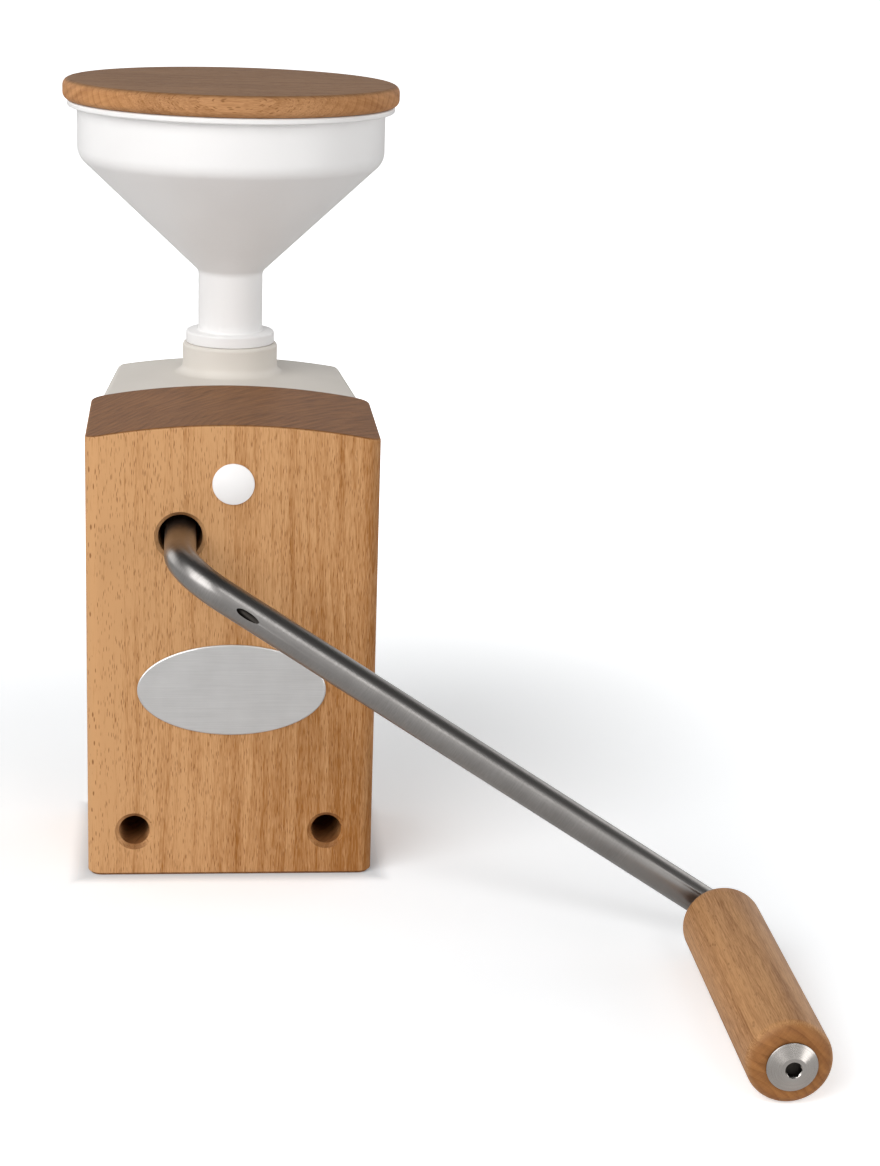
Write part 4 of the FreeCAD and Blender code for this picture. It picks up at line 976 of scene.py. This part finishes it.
@dataclass
class Crank:
    """Bent rod with its turned grip on a shoulder bolt."""

    finishes: Finishes
    foot: Point = (-20.0, 0.0, 138.8)
    slope: float = 31.8
    lean: float = 7.0
    radius: float = 6.0
    inner_end: float = 21.0
    bend_start: float = -61.6
    bend_radius: float = 20.7
    straight: float = 226.3
    end_bevel: float = 1.2
    pin_radius: float = 2.0
    pin_place: float = 15.0
    dimple: float = 4.0
    dimple_radius: float = 1.4
    dimple_depth: float = 2.2
    dimple_slope: float = 24.0
    grip_axis: tuple[float, float] = (179.597, 15.044)
    seat_depth: float = -112.75
    seat_radius: float = 10.0
    bore: float = 4.08
    spacer_radius: float = 7.0
    spacer_length: float = 5.2
    grip_root: float = -118.25
    grip_radius: float = 14.7
    grip_length: float = 116.3
    bolt_seat: float = -234.85
    bolt_radius: float = 4.0
    thread: tuple[float, float] = (3.0, 9.0)
    head: tuple[float, float] = (8.7, 3.0)
    head_edge: float = 0.8
    head_flat: float = 4.2
    socket: tuple[float, float] = (5.0, 2.4)

    def in_model(self, flat: Array) -> Array:
        """Takes points of the crank's plane into the model.

        A point (u, y) goes to foot + u down + y backward, where down runs along the slope.

        Args:
            flat: (u, y) of each point.

        Returns:
            X, Y and Z of each point.
        """
        angle = math.radians(self.slope)
        down = np.array([math.cos(angle), 0.0, -math.sin(angle)])
        return np.asarray(self.foot) + flat[..., :1] * down + flat[..., 1:] * np.array(BACKWARD)

    def on_grip(self, depth: float) -> Point:
        """The point of the grip's axis at a depth."""
        return (self.grip_axis[0], depth, self.grip_axis[1])

    def build_rod(self) -> Piece:
        """The rod: a circle carried along a line, an arc and a line in one plane.

        A skin point is centre + r cos(a) side + r sin(a) level, where side lies in the plane of
        the bend, square to the path, and level is that plane's normal.

        Returns:
            The piece.
        """
        lean = math.radians(self.lean)
        turn = math.pi / 2 - lean
        arc = np.linspace(0, turn, 25)
        start, end = self.bend_start, self.straight
        inner = self.inner_end
        first = np.array([[0.0, y] for y in (inner, inner - 0.4, 0.0, start + 0.5)])
        bend = np.stack([1 - np.cos(arc), -np.sin(arc)], -1) * self.bend_radius + (0.0, start)
        away = np.array([math.cos(lean), -math.sin(lean)])
        shoulder = end - self.end_bevel
        runs = np.array([0.5, 60.0, 120.0, 180.0, end - 6, shoulder - 0.2, shoulder, end, end])
        centres = np.concatenate([first[:1], first, bend, bend[-1] + runs[:, None] * away])
        reach = np.full(len(centres), self.radius)
        reach[0] = reach[-1] = 0.0
        reach[-2] = self.radius - self.end_bevel
        turns = np.concatenate([np.zeros(len(first) + 1), arc, np.full(len(runs), turn)])
        steps = np.linalg.norm(np.diff(centres, axis=0), axis=1)
        length = np.concatenate([[0.0], np.cumsum(steps)])[:, None]

        angles = np.linspace(0, 2 * np.pi, 56, endpoint=False)
        cosine, sine = np.cos(angles)[None], np.sin(angles)[None]
        side = self.in_model(np.stack([np.cos(turns), np.sin(turns)], -1)) - np.asarray(self.foot)
        ring = cosine[..., None] * side[:, None] + sine[..., None] * np.array(self.level())
        marks = np.broadcast_arrays(self.radius * cosine, self.radius * sine, length)
        skin = Skin()
        points = self.in_model(centres)[:, None] + reach[:, None, None] * ring
        skin.grid(points, wrap=True, marks=np.stack(marks, -1))
        piece = skin.piece("bent_rod")
        carve(piece, self.rod_cutters(), self.finishes.of("rod"))
        return settle(piece, "crank", "satin_rod", "crank_arm")

    def level(self) -> Point:
        """The normal of the crank's plane."""
        return (math.sin(math.radians(self.slope)), 0.0, math.cos(math.radians(self.slope)))

    def rod_cutters(self) -> list[Piece]:
        """Turns the shapes of the grip's seat and thread, the cross pin's hole and the dimple.

        The dimple's middle lies on the side of the rod that faces forward, at the dimple's
        distance from the bend along the straight, and is drilled at a slope.

        Returns:
            The cutters.
        """
        thread, wide, deep = self.thread[0], self.seat_radius, 30.0
        seat = [(0, -deep), (thread, -deep), (thread, 0), (wide, 0), (wide, 14), (0, 14)]
        pin = [(0, -12), (self.pin_radius, -12), (self.pin_radius, 12), (0, 12)]
        place = (self.foot[0], self.pin_place, self.foot[2])
        made = [
            turned_piece("cutter", seat, self.on_grip(self.seat_depth), FORWARD, 64),
            turned_piece("cutter", pin, place, self.level(), 32)]

        lean, drill = math.radians(self.lean), math.radians(self.dimple_slope)
        reach = self.bend_radius * (1 - math.sin(lean)) + self.dimple * math.cos(lean)
        middle = self.bend_start - self.bend_radius * math.cos(lean) - self.dimple * math.sin(lean)
        surface = middle - self.radius / math.cos(lean)
        start = self.in_model(np.array([reach, surface + self.dimple_depth]))
        away = self.in_model(np.array([math.cos(drill), -math.sin(drill)])) - self.foot
        hole = [(0, 0), (self.dimple_radius, 0), (self.dimple_radius, 12), (0, 12)]
        dimple = turned_piece("cutter", hole, tuple(start), tuple(away), 32)
        # painted shade: the dimple's walls take the dark recess finish in place of the shade inside
        # it
        return [*made, dress(dimple, self.finishes.of("recess_shade"))]

    def build_grip(self) -> Piece:
        """Turns the grip with its rounded ends and its bore.

        Returns:
            The piece.
        """
        bore, wide, end = self.bore, self.grip_radius, self.grip_length
        corners = [
            (bore, 1), (bore, 0, 0.6), (wide, 0, 6), (wide, end, 4.5), (bore, end, 0.6),
            (bore, end - 1)]
        profile = closed(rounded_path(corners, 7.0))
        piece = turned_piece("turned_grip", profile, self.on_grip(self.grip_root), FORWARD)
        return settle(dress(piece, self.finishes.of("grip")), "grip", "grip_beech", "handle_grip")

    def build_spacer(self) -> Piece:
        """Turns the ring between the rod's seat and the grip.

        Returns:
            The piece.
        """
        bore, wide, end = self.bore, self.spacer_radius, self.spacer_length
        profile = closed(rounded_path([
            (bore, 2), (bore, 0, 0.3), (wide, 0, 0.5), (wide, end, 0.5), (bore, end, 0.3),
            (bore, end - 2)]))
        piece = turned_piece("spacer_ring", profile, self.on_grip(self.seat_depth), FORWARD, 64)
        return settle(dress(piece, self.finishes.of("bolt")), "crank", "satin_rod", "grip_spacer")

    def build_bolt(self) -> Piece:
        """Turns the shoulder bolt with its low cone head, and cuts its six-sided socket.

        Returns:
            The piece.
        """
        down = self.bolt_seat - self.seat_depth
        (thread, length), shoulder, (wide, high) = self.thread, self.bolt_radius, self.head
        profile = rounded_path([
            (0, down - length), (thread, down - length, 0.5), (thread, down), (shoulder, down, 0.3),
            (shoulder, 0), (wide, 0, 0.2), (wide, self.head_edge, 0.35),
            (self.head_flat, high, 0.5), (0, high)])
        piece = turned_piece("shoulder_bolt", profile, self.on_grip(self.bolt_seat), FORWARD)
        top = self.on_grip(self.bolt_seat - high)
        across, depth = self.socket
        # painted shade: the socket's walls take the dark recess finish in place of the shade inside
        # it
        socket = dress(prism(hexagon(across), top, FORWARD, depth), self.finishes.of("recess_shade"))
        mouth = [(0, -0.4), (across / 2, -0.4), (across / 2 + 0.9, 0.5), (0, 0.5)]
        bevel = turned_piece("cutter", mouth, top, FORWARD, 48)
        carve(piece, [socket, bevel], self.finishes.of("bolt"), sharp=24.0)
        return settle(piece, "crank", "screw_steel", "handle_bolt")


# Funnel and lid


@dataclass
class Hopper:
    """The thin funnel in the housing's collar, and its wooden lid."""

    finishes: Finishes
    axis: Point = (0.0, 70.75, 0.0)
    foot: float = 184.2
    seat: float = 194.2
    flange_top: float = 199.0
    cone_foot: float = 223.8
    cone_angle: float = 43.5
    cone_top: float = 270.44
    top: float = 292.4
    wall: float = 2.2
    stem_bore: float = 11.2
    stem: float = 13.25
    spigot: float = 15.2
    flange: float = 18.25
    bowl_bore: float = 60.2
    bowl: float = 62.4
    rim: float = 66.25
    rim_depth: float = 2.4
    lid_gap: float = 0.1
    lid_rebate: float = 4.0
    lid_thickness: float = 8.4
    lid_spigot: float = 59.2
    lid_radius: float = 68.0
    lid_edge: float = 2.8

    def build_funnel(self) -> Piece:
        """Turns the funnel from its outside and inside with even roundings.

        The inside of the cone lies wall / sin(a) further out than its outside, at the cone's
        angle a, so its height at a radius r is foot + (r + wall / sin(a) - stem) tan(a).

        Returns:
            The piece.
        """
        slope = math.tan(math.radians(self.cone_angle))
        shift = self.wall / math.sin(math.radians(self.cone_angle)) - self.stem
        inner_foot = self.cone_foot + (self.stem_bore + shift) * slope
        inner_top = self.cone_foot + (self.bowl_bore + shift) * slope
        under = self.top - self.rim_depth
        start = (self.stem_bore, self.cone_foot - 18.8)
        outside = [
            start, (self.stem_bore, self.foot, 0.4), (self.spigot, self.foot, 0.6),
            (self.spigot, self.seat), (self.flange, self.seat, 0.4),
            (self.flange, self.flange_top, 0.8),
            (self.stem, self.flange_top, 0.6), (self.stem, self.cone_foot, 3.5),
            (self.bowl, self.cone_top, 8.0), (self.bowl, under, 0.5), (self.rim, under, 0.8)]
        inside = [
            (self.rim, self.top, 0.8), (self.bowl_bore, self.top, 0.5),
            (self.bowl_bore, inner_top, 5.8), (self.stem_bore, inner_foot, 5.7), start]
        profile = rounded_path(outside + inside, 6.0)
        piece = turned_piece("white_funnel", profile, self.axis, UPWARD, 144)
        return settle(dress(piece, self.finishes.of("white")), "funnel", "white_plastic", "funnel")

    def build_lid(self) -> Piece:
        """Turns the round wooden lid with its rebate below.

        Returns:
            The piece.
        """
        low = self.top + self.lid_gap
        high, step, radius = low + self.lid_thickness, low - self.lid_rebate, self.lid_radius
        profile = rounded_path([
            (0, step), (self.lid_spigot, step, 0.6), (self.lid_spigot, low),
            (radius, low, self.lid_edge), (radius, high, self.lid_edge), (0, high)])
        piece = turned_piece("wooden_lid", profile, self.axis, UPWARD, 144)
        return settle(dress(piece, self.finishes.of("lid")), "lid", "lid_beech", "lid")


# Housing behind the block


@dataclass
class Housing:
    """Moulded shell over the rollers, open to the front and below, with its collar and screws."""

    finishes: Finishes
    front: float = 37.0
    back_start: float = 96.5
    back: float = 100.5
    front_half: float = 52.5
    back_half: float = 47.5
    foot: float = 92.0
    crown: float = 182.2
    arch_radius: float = 287.8
    edge: float = 4.0
    wall: float = 3.0
    feed_axis: float = 70.75
    zone: float = 25.5
    collar_radius: float = 19.6
    collar_bore: float = 15.5
    collar_foot: float = 186.0
    collar_top: float = 194.1
    collar_fillet: float = 3.5
    boss_radius: float = 4.5
    screw_radius: float = 2.0
    screw_length: float = 8.0
    screw_play: float = 0.15
    screw_head: tuple[float, float] = (3.75, 2.4)
    screw_side: float = 22.0
    screw_heights: tuple[float, float] = (164.0, 106.0)

    def screw_places(self) -> list[tuple[float, float]]:
        """X and Z of each screw."""
        return [(side * self.screw_side, z) for z in self.screw_heights for side in (-1, 1)]

    def roof(self, x: Array, inset: float) -> Array:
        """Height of the arch inset by a distance: middle + sqrt((R - inset)^2 - x * x)."""
        return self.crown - self.arch_radius + np.sqrt((self.arch_radius - inset) ** 2 - x**2)

    def half_width(self, y: Array) -> Array:
        """Half the plan's width, which narrows evenly to the back."""
        share = (y - self.front) / (self.back - self.front)
        return self.front_half + share * (self.back_half - self.front_half)

    def sections(self, skin: float, y: Array, inset: Array) -> Array:
        """Curves across the housing, one row for each y, from the left foot to the right one.

        The corner's rounding keeps one middle for every inset. It touches the side and the arch
        from inside, so its middle lies sqrt((R - r)^2 - (w - r)^2) above the arch's middle.

        Args:
            skin: How far this skin lies inside the outer one.
            y: The place of each row.
            inset: How much further in each row lies.

        Returns:
            Rows by columns by 3.
        """
        middle = self.crown - self.arch_radius
        reach = (self.half_width(np.minimum(y, self.back_start)) - self.edge)[:, None]
        radius = (self.edge - skin - inset)[:, None]
        arch = (self.arch_radius - skin - inset)[:, None]
        rise = middle + np.sqrt((self.arch_radius - self.edge) ** 2 - reach**2)
        tilt = np.arctan2(rise - middle, reach)
        climb = np.concatenate([np.linspace(0, 0.985, 7), [0.997]])
        side_z = self.foot + climb * (rise - self.foot)
        side_x = np.broadcast_to(reach + radius, side_z.shape)
        angles = np.linspace(0, 1, 9) * tilt
        corner_x, corner_z = reach + radius * np.cos(angles), rise + radius * np.sin(angles)
        outer = corner_x[:, -1:]
        shares = np.concatenate([[0.004], np.linspace(0, 1, 9)[1:]])
        slope_x = outer + shares * (self.zone - outer)
        flat_x = np.broadcast_to(np.linspace(self.zone, -self.zone, 19)[1:-1], (len(y), 17))
        slope_z, flat_z = (middle + np.sqrt(arch**2 - part**2) for part in (slope_x, flat_x))
        right_x = np.concatenate([side_x, corner_x, slope_x], axis=1)
        right_z = np.concatenate([side_z, corner_z, slope_z], axis=1)
        x = np.concatenate([-right_x, flat_x[:, ::-1], right_x[:, ::-1]], axis=1)
        z = np.concatenate([right_z, flat_z, right_z[:, ::-1]], axis=1)
        return np.stack([x, np.broadcast_to(y[:, None], x.shape), z], -1)

    def one_skin(self, skin: float) -> Array:
        """Rows of one skin to the back, round its edge, and inwards over the back wall.

        Args:
            skin: How far this skin lies inside the outer one.

        Returns:
            Rows by columns by 3.
        """
        start, end = self.feed_axis - self.zone, self.feed_axis + self.zone
        rows = np.concatenate([
            np.linspace(self.front, start, 4), np.linspace(start, end, 19)[1:], [self.back_start]])
        radius = self.edge - skin
        angles = np.linspace(0, np.pi / 2, 8)[1:]
        y = np.concatenate([rows, self.back_start + radius * np.sin(angles)])
        inset = np.concatenate([np.zeros(len(rows)), radius * (1 - np.cos(angles))])
        grid = self.sections(skin, y, inset)
        wall = np.repeat(grid[-1:], 5, axis=0)
        wall[..., 0] *= np.array([0.99, 0.75, 0.5, 0.25, 0.0])[:, None]
        return np.concatenate([grid, wall])

    def collar(self, outside: Array, inside: Array) -> Array:
        """Rows from a square hole in the outer skin up round the collar and down to the inner skin.

        A point of the square is drawn evenly to the point of the circle in the same direction.
        With the fillet's radius f, the root's rounding lies c + f (1 - sin(a)) from the axis, at
        f (1 - cos(a)) above the roof, where c is the collar's radius.

        Args:
            outside: The square's points on the outer skin, in order round it.
            inside: The same points on the inner skin.

        Returns:
            Rows by columns by 3.
        """
        centre = np.array([0.0, self.feed_axis])
        away = outside[:, :2] - centre
        aim = away / np.linalg.norm(away, axis=1)[:, None]
        radius, fillet = self.collar_radius, self.collar_fillet
        bore, top, foot = self.collar_bore, self.collar_top, self.collar_foot

        def on_roof(plan: Array, inset: float, lift: float = 0.0) -> Array:
            """Points over a plan, on the arch inset by a distance and lifted from it."""
            return np.column_stack([plan + centre, self.roof(plan[:, 0], inset) + lift])

        root = (radius + fillet + 0.3) * aim
        rows = [on_roof(away + share * (root - away), 0.0) for share in (0.0, 0.5, 1.0)]
        for angle in np.linspace(0, np.pi / 2, 8):
            reach = radius + fillet * (1 - math.sin(angle))
            rows.append(on_roof(reach * aim, 0.0, fillet * (1 - math.cos(angle))))
        rim = rounded_path([(radius, foot), (radius, top, 1.5), (bore, top, 0.5), (bore, foot)])
        for reach, height in rim[1:-1]:
            rows.append(np.column_stack([reach * aim + centre, np.full(len(aim), height)]))
        rows += [on_roof(bore * aim, self.wall, lift) for lift in (0.3, 0.0)]
        inner, square = bore * aim, inside[:, :2] - centre
        rows += [on_roof(inner + share * (square - inner), self.wall) for share in (0.5, 1.0)]
        return np.stack(rows)

    def build_shell(self) -> Piece:
        """Builds the shell: two skins joined along the front, the foot and the collar.

        Each skin leaves out a square over the feed, whose loop of points the collar takes up.

        Returns:
            The piece.
        """
        skins = [self.one_skin(0.0), self.one_skin(self.wall)]
        first, last = 3, 21
        places = skins[0][first, :, 0]
        left, right = (int(np.argmin(np.abs(places - side * self.zone))) for side in (-1, 1))
        loops = []
        shell = Skin()
        for grid in skins:
            shell.grid(grid[: first + 1])
            shell.grid(grid[first : last + 1, : left + 1])
            shell.grid(grid[first : last + 1, right:])
            shell.grid(grid[last:])
            loops.append(np.concatenate([
                grid[first, left:right], grid[first:last, right],
                grid[last, right:left:-1], grid[last:first:-1, left]]))
        outer, inner = skins
        for edge in (0, (slice(None), 0), (slice(None), -1)):
            shell.grid(np.stack([outer[edge], inner[edge]]))
        shell.grid(self.collar(*loops), wrap=True)
        piece = shell.piece("housing_shell")
        bosses, holes = [], []
        wide, bore = self.boss_radius, self.screw_radius + self.screw_play
        for x, z in self.screw_places():
            place = (x, self.back_start, z)
            boss = [(0, 0), (wide, 0), (wide, 2.5), (0, 2.5)]
            bosses.append(turned_piece("boss", boss, place, BACKWARD, 48))
            hole = [(0, -2), (bore, -2), (bore, 6), (0, 6)]
            holes.append(turned_piece("cutter", hole, place, BACKWARD, 32))
        carve(piece, holes, self.finishes.of("housing"), bosses)
        return settle(piece, "frame", "grey_plastic", "roller_housing")

    def build_screws(self) -> Piece:
        """Turns four screws with low round-edged heads, and cuts their cross recesses.

        Returns:
            The piece.
        """
        (wide, high), thin, length = self.screw_head, self.screw_radius, self.screw_length
        profile = rounded_path([
            (0, -length), (thin, -length, 0.5), (thin, 0), (wide, 0, 0.1), (wide, high, 0.9),
            (0, high)], 10.0)
        skin = Skin()
        slots = []
        for x, z in self.screw_places():
            skin.turned(profile, (x, self.back, z), BACKWARD, 48)
            slot = prism(cross(4.2, 1.0), (x, self.back + high, z), BACKWARD, 1.4, 0.6)
            # painted shade: the cross slots take the dark recess finish in place of the shade
            # inside them
            slots.append(dress(slot, self.finishes.of("recess_shade")))
        piece = skin.piece("housing_screw_set")
        carve(piece, slots, self.finishes.of("screws"))
        return settle(piece, "frame", "screw_steel", "housing_screws")


# The roller unit and the other nodes that keep their CAD shape


@dataclass
class RollerUnit:
    """Plates, rollers, gears, scrapers and screws behind the block, which keep their CAD shape."""

    finishes: Finishes
    nodes: Mapping[str, Piece]

    def dress_nodes(self) -> None:
        """Gives each node that still shows its own finish."""
        wanted = {
            "chute": ["feed_chute"],
            "plates": ["front_plate", "rear_plate", "scraper_bar_left", "scraper_bar_right"],
            "bronze": [
                "bush_drive_front", "bush_drive_rear", "bush_driven_front", "bush_driven_rear"],
            "screws": ["unit_screw", "plate_wood_screws", "front_tie_screws", "rear_tie_screws",
                       "scraper_screws", "spacer_rod_left", "spacer_rod_right",
                       "shaft_coupling", "coupling_pins"],
            "blades": ["scraper_blade_left", "scraper_blade_right"],
            "rollers": ["drive_roller", "driven_roller"],
            "gears": ["drive_gear", "driven_gear"],
        }
        for finish, names in wanted.items():
            for name in names:
                dress(self.nodes[name], self.finishes.of(finish))
                log.info("%s keeps its CAD shape, in %s", name, finish)


# Camera, floor and light


@dataclass(frozen=True)
class Lamp:
    """A soft square lamp: its place and what it faces in metres, its side in metres, its watts."""

    name: str
    place: Point
    size: float
    power: float
    target: Point = (0.02, 0.0, 0.15)

    def build(self) -> None:
        """Adds the lamp, unseen by the camera."""
        light = bpy.data.lights.new(self.name, "AREA")
        light.shape, light.size, light.energy = "SQUARE", self.size, self.power
        lamp = bpy.data.objects.new(self.name, light)
        axis = unit(np.asarray(self.place) - np.asarray(self.target))
        first, second = side_axes(tuple(axis))
        lamp.matrix_world = Matrix(np.stack([first, second, axis]).tolist()).transposed().to_4x4()
        lamp.location = self.place
        lamp.visible_camera = False
        bpy.context.scene.collection.objects.link(lamp)


@dataclass
class Studio:
    """Camera of the photograph, a white floor and soft light from the left front."""

    eye: Point = (-16.82, -950.9, 389.0)
    yaw: float = -0.1054
    pitch: float = 0.2838
    roll: float = -0.0330
    focal_pixels: float = 2476.34
    frame_height: int = 1166
    sensor: float = 36.0
    floor_depth: float = -0.05
    shadow_reach: tuple[float, float] = (150.0, 560.0)
    # painted contact shadow: the block's half plan, and how far past it the floor is darkened
    block_half: tuple[float, float] = (56.0, 37.0)
    painted_contact_shadow_reach: float = 9.0
    lamps: tuple[Lamp, ...] = (
        Lamp("key_lamp", (-1.05, -1.25, 1.25), 1.6, 30.0),
        Lamp("stripe_lamp", (0.49, -1.33, 1.04), 0.5, 2.6, (0.1, -0.1, 0.08)),
        Lamp("fill_lamp", (1.7, -1.2, 0.5), 1.2, 8.0),
        Lamp("back_left_lamp", (-1.7, 1.2, 0.8), 1.2, 6.0),
        Lamp("back_right_lamp", (1.8, 1.1, 0.7), 1.2, 6.0))

    def build_camera(self) -> None:
        """Places the camera, turned by yaw, tilted down by pitch and rolled about its view."""
        turns = Matrix.Rotation(self.yaw, 3, "Z") @ Matrix.Rotation(-self.pitch, 3, "X")
        turns = turns @ Matrix.Rotation(self.roll, 3, "Y")
        right, forward, up = turns.col
        matrix = Matrix((right, up, -forward)).transposed().to_4x4()
        matrix.translation = [part * MM for part in self.eye]
        lens = bpy.data.cameras.new("photo_camera")
        lens.sensor_width = self.sensor
        lens.lens = self.sensor * self.focal_pixels / self.frame_height
        lens.clip_start, lens.clip_end = 0.05, 100.0
        camera = bpy.data.objects.new("photo_camera", lens)
        camera.matrix_world = matrix
        bpy.context.scene.collection.objects.link(camera)
        bpy.context.scene.camera = camera

    def build_floor(self) -> None:
        """A round white floor that keeps the flaker's shadow and is white where nothing shades it.

        What the camera sees is the floor's own shade plus a glow. Both are lowered within the
        contact's reach of the block's foot, a painted contact shadow. The glow grows to full white
        over the shadow's reach.
        """
        angles = np.linspace(0, 2 * np.pi, 97)[:-1]
        ring = np.stack([np.cos(angles), np.sin(angles), np.zeros_like(angles)], -1)
        rings = [ring * reach + (0.0, 0.0, self.floor_depth) for reach in (0.0, 500.0, 30000.0)]
        skin = Skin()
        skin.grid(np.stack(rings), wrap=True)
        shader, finish = Shader.material("studio_floor")
        x, y, _ = shader.place()
        far = ((x**2 + y**2) ** 0.5).step(*self.shadow_reach)
        # painted contact shadow: glow and colour of the floor are lowered near the block's foot
        past_side, past_front = (
            part.math("ABSOLUTE") - half for part, half in zip((x, y), self.block_half))
        clear_of_painted_shadow = past_side.math("MAXIMUM", past_front).step(0.0, self.painted_contact_shadow_reach)
        near = shader.blend(clear_of_painted_shadow, grey(0.14), grey(0.27))
        glow = shader.blend(far, near, grey(1.0))
        tone = shader.blend(clear_of_painted_shadow, (0.66, 0.68, 0.7, 1.0), (0.96, 0.98, 1.0, 1.0))
        seen = shader.node("ShaderNodeLightPath").outputs["Is Camera Ray"]
        plain = shader.node("ShaderNodeBsdfDiffuse", sockets={"Color": grey(0.85)})
        shaded = shader.node("ShaderNodeBsdfDiffuse", sockets={"Color": tone})
        white = shader.node("ShaderNodeEmission", sockets={"Color": glow, "Strength": 1.0})
        parts = {0: shaded.outputs[0], 1: white.outputs[0]}
        both = shader.node("ShaderNodeAddShader", sockets=parts)
        shown = {0: seen, 1: plain.outputs[0], 2: both.outputs[0]}
        mixed = shader.node("ShaderNodeMixShader", sockets=shown)
        shader.node("ShaderNodeOutputMaterial", sockets={"Surface": mixed.outputs[0]})
        dress(skin.piece("studio_floor"), finish)

    def build_world(self) -> None:
        """A white surround for the camera and for gloss, dark overhead, and grey for light."""
        world = bpy.data.worlds.new("studio")
        world.use_nodes = True
        bpy.context.scene.world = world
        shader = Shader(world.node_tree)
        path = shader.node("ShaderNodeLightPath").outputs
        camera, gloss, glass = (Signal(shader, path[name]) for name in
                                ("Is Camera Ray", "Is Glossy Ray", "Is Transmission Ray"))
        height = shader.split(shader.node("ShaderNodeTexCoord").outputs["Generated"])[2]
        shown = shader.blend(height.step(0.25, 0.7), grey(1.0), grey(0.06))
        seen = shader.node("ShaderNodeBackground", sockets={"Color": shown, "Strength": 1.0})
        soft = shader.blend(height.step(0.1, 0.8), grey(0.5), grey(0.16))
        light = shader.node("ShaderNodeBackground", sockets={"Color": soft, "Strength": 1.0})
        factor = (camera + gloss + glass).math("MINIMUM", 1.0)
        parts = {0: factor, 1: light.outputs[0], 2: seen.outputs[0]}
        mixed = shader.node("ShaderNodeMixShader", sockets=parts)
        shader.node("ShaderNodeOutputWorld", sockets={"Surface": mixed.outputs[0]})

    def build(self) -> None:
        """Sets up the whole studio."""
        self.build_camera()
        self.build_floor()
        self.build_world()
        for lamp in self.lamps:
            lamp.build()
        bpy.context.scene.view_settings.view_transform = "Standard"


def main() -> None:
    """Builds the flaker's pieces in order, then the studio."""
    logging.basicConfig(level=logging.INFO, format="%(name)s: %(message)s")
    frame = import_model()
    finishes = Finishes()
    RollerUnit(finishes, frame["nodes"]).dress_nodes()

    block = Block(finishes)
    block.build_block()
    block.build_cap()
    block.build_badge()

    crank = Crank(finishes)
    crank.build_rod()
    crank.build_spacer()
    crank.build_grip()
    crank.build_bolt()

    housing = Housing(finishes)
    housing.build_shell()
    housing.build_screws()

    hopper = Hopper(finishes)
    hopper.build_funnel()
    hopper.build_lid()

    Studio().build()


if __name__ == "__main__":
    main()
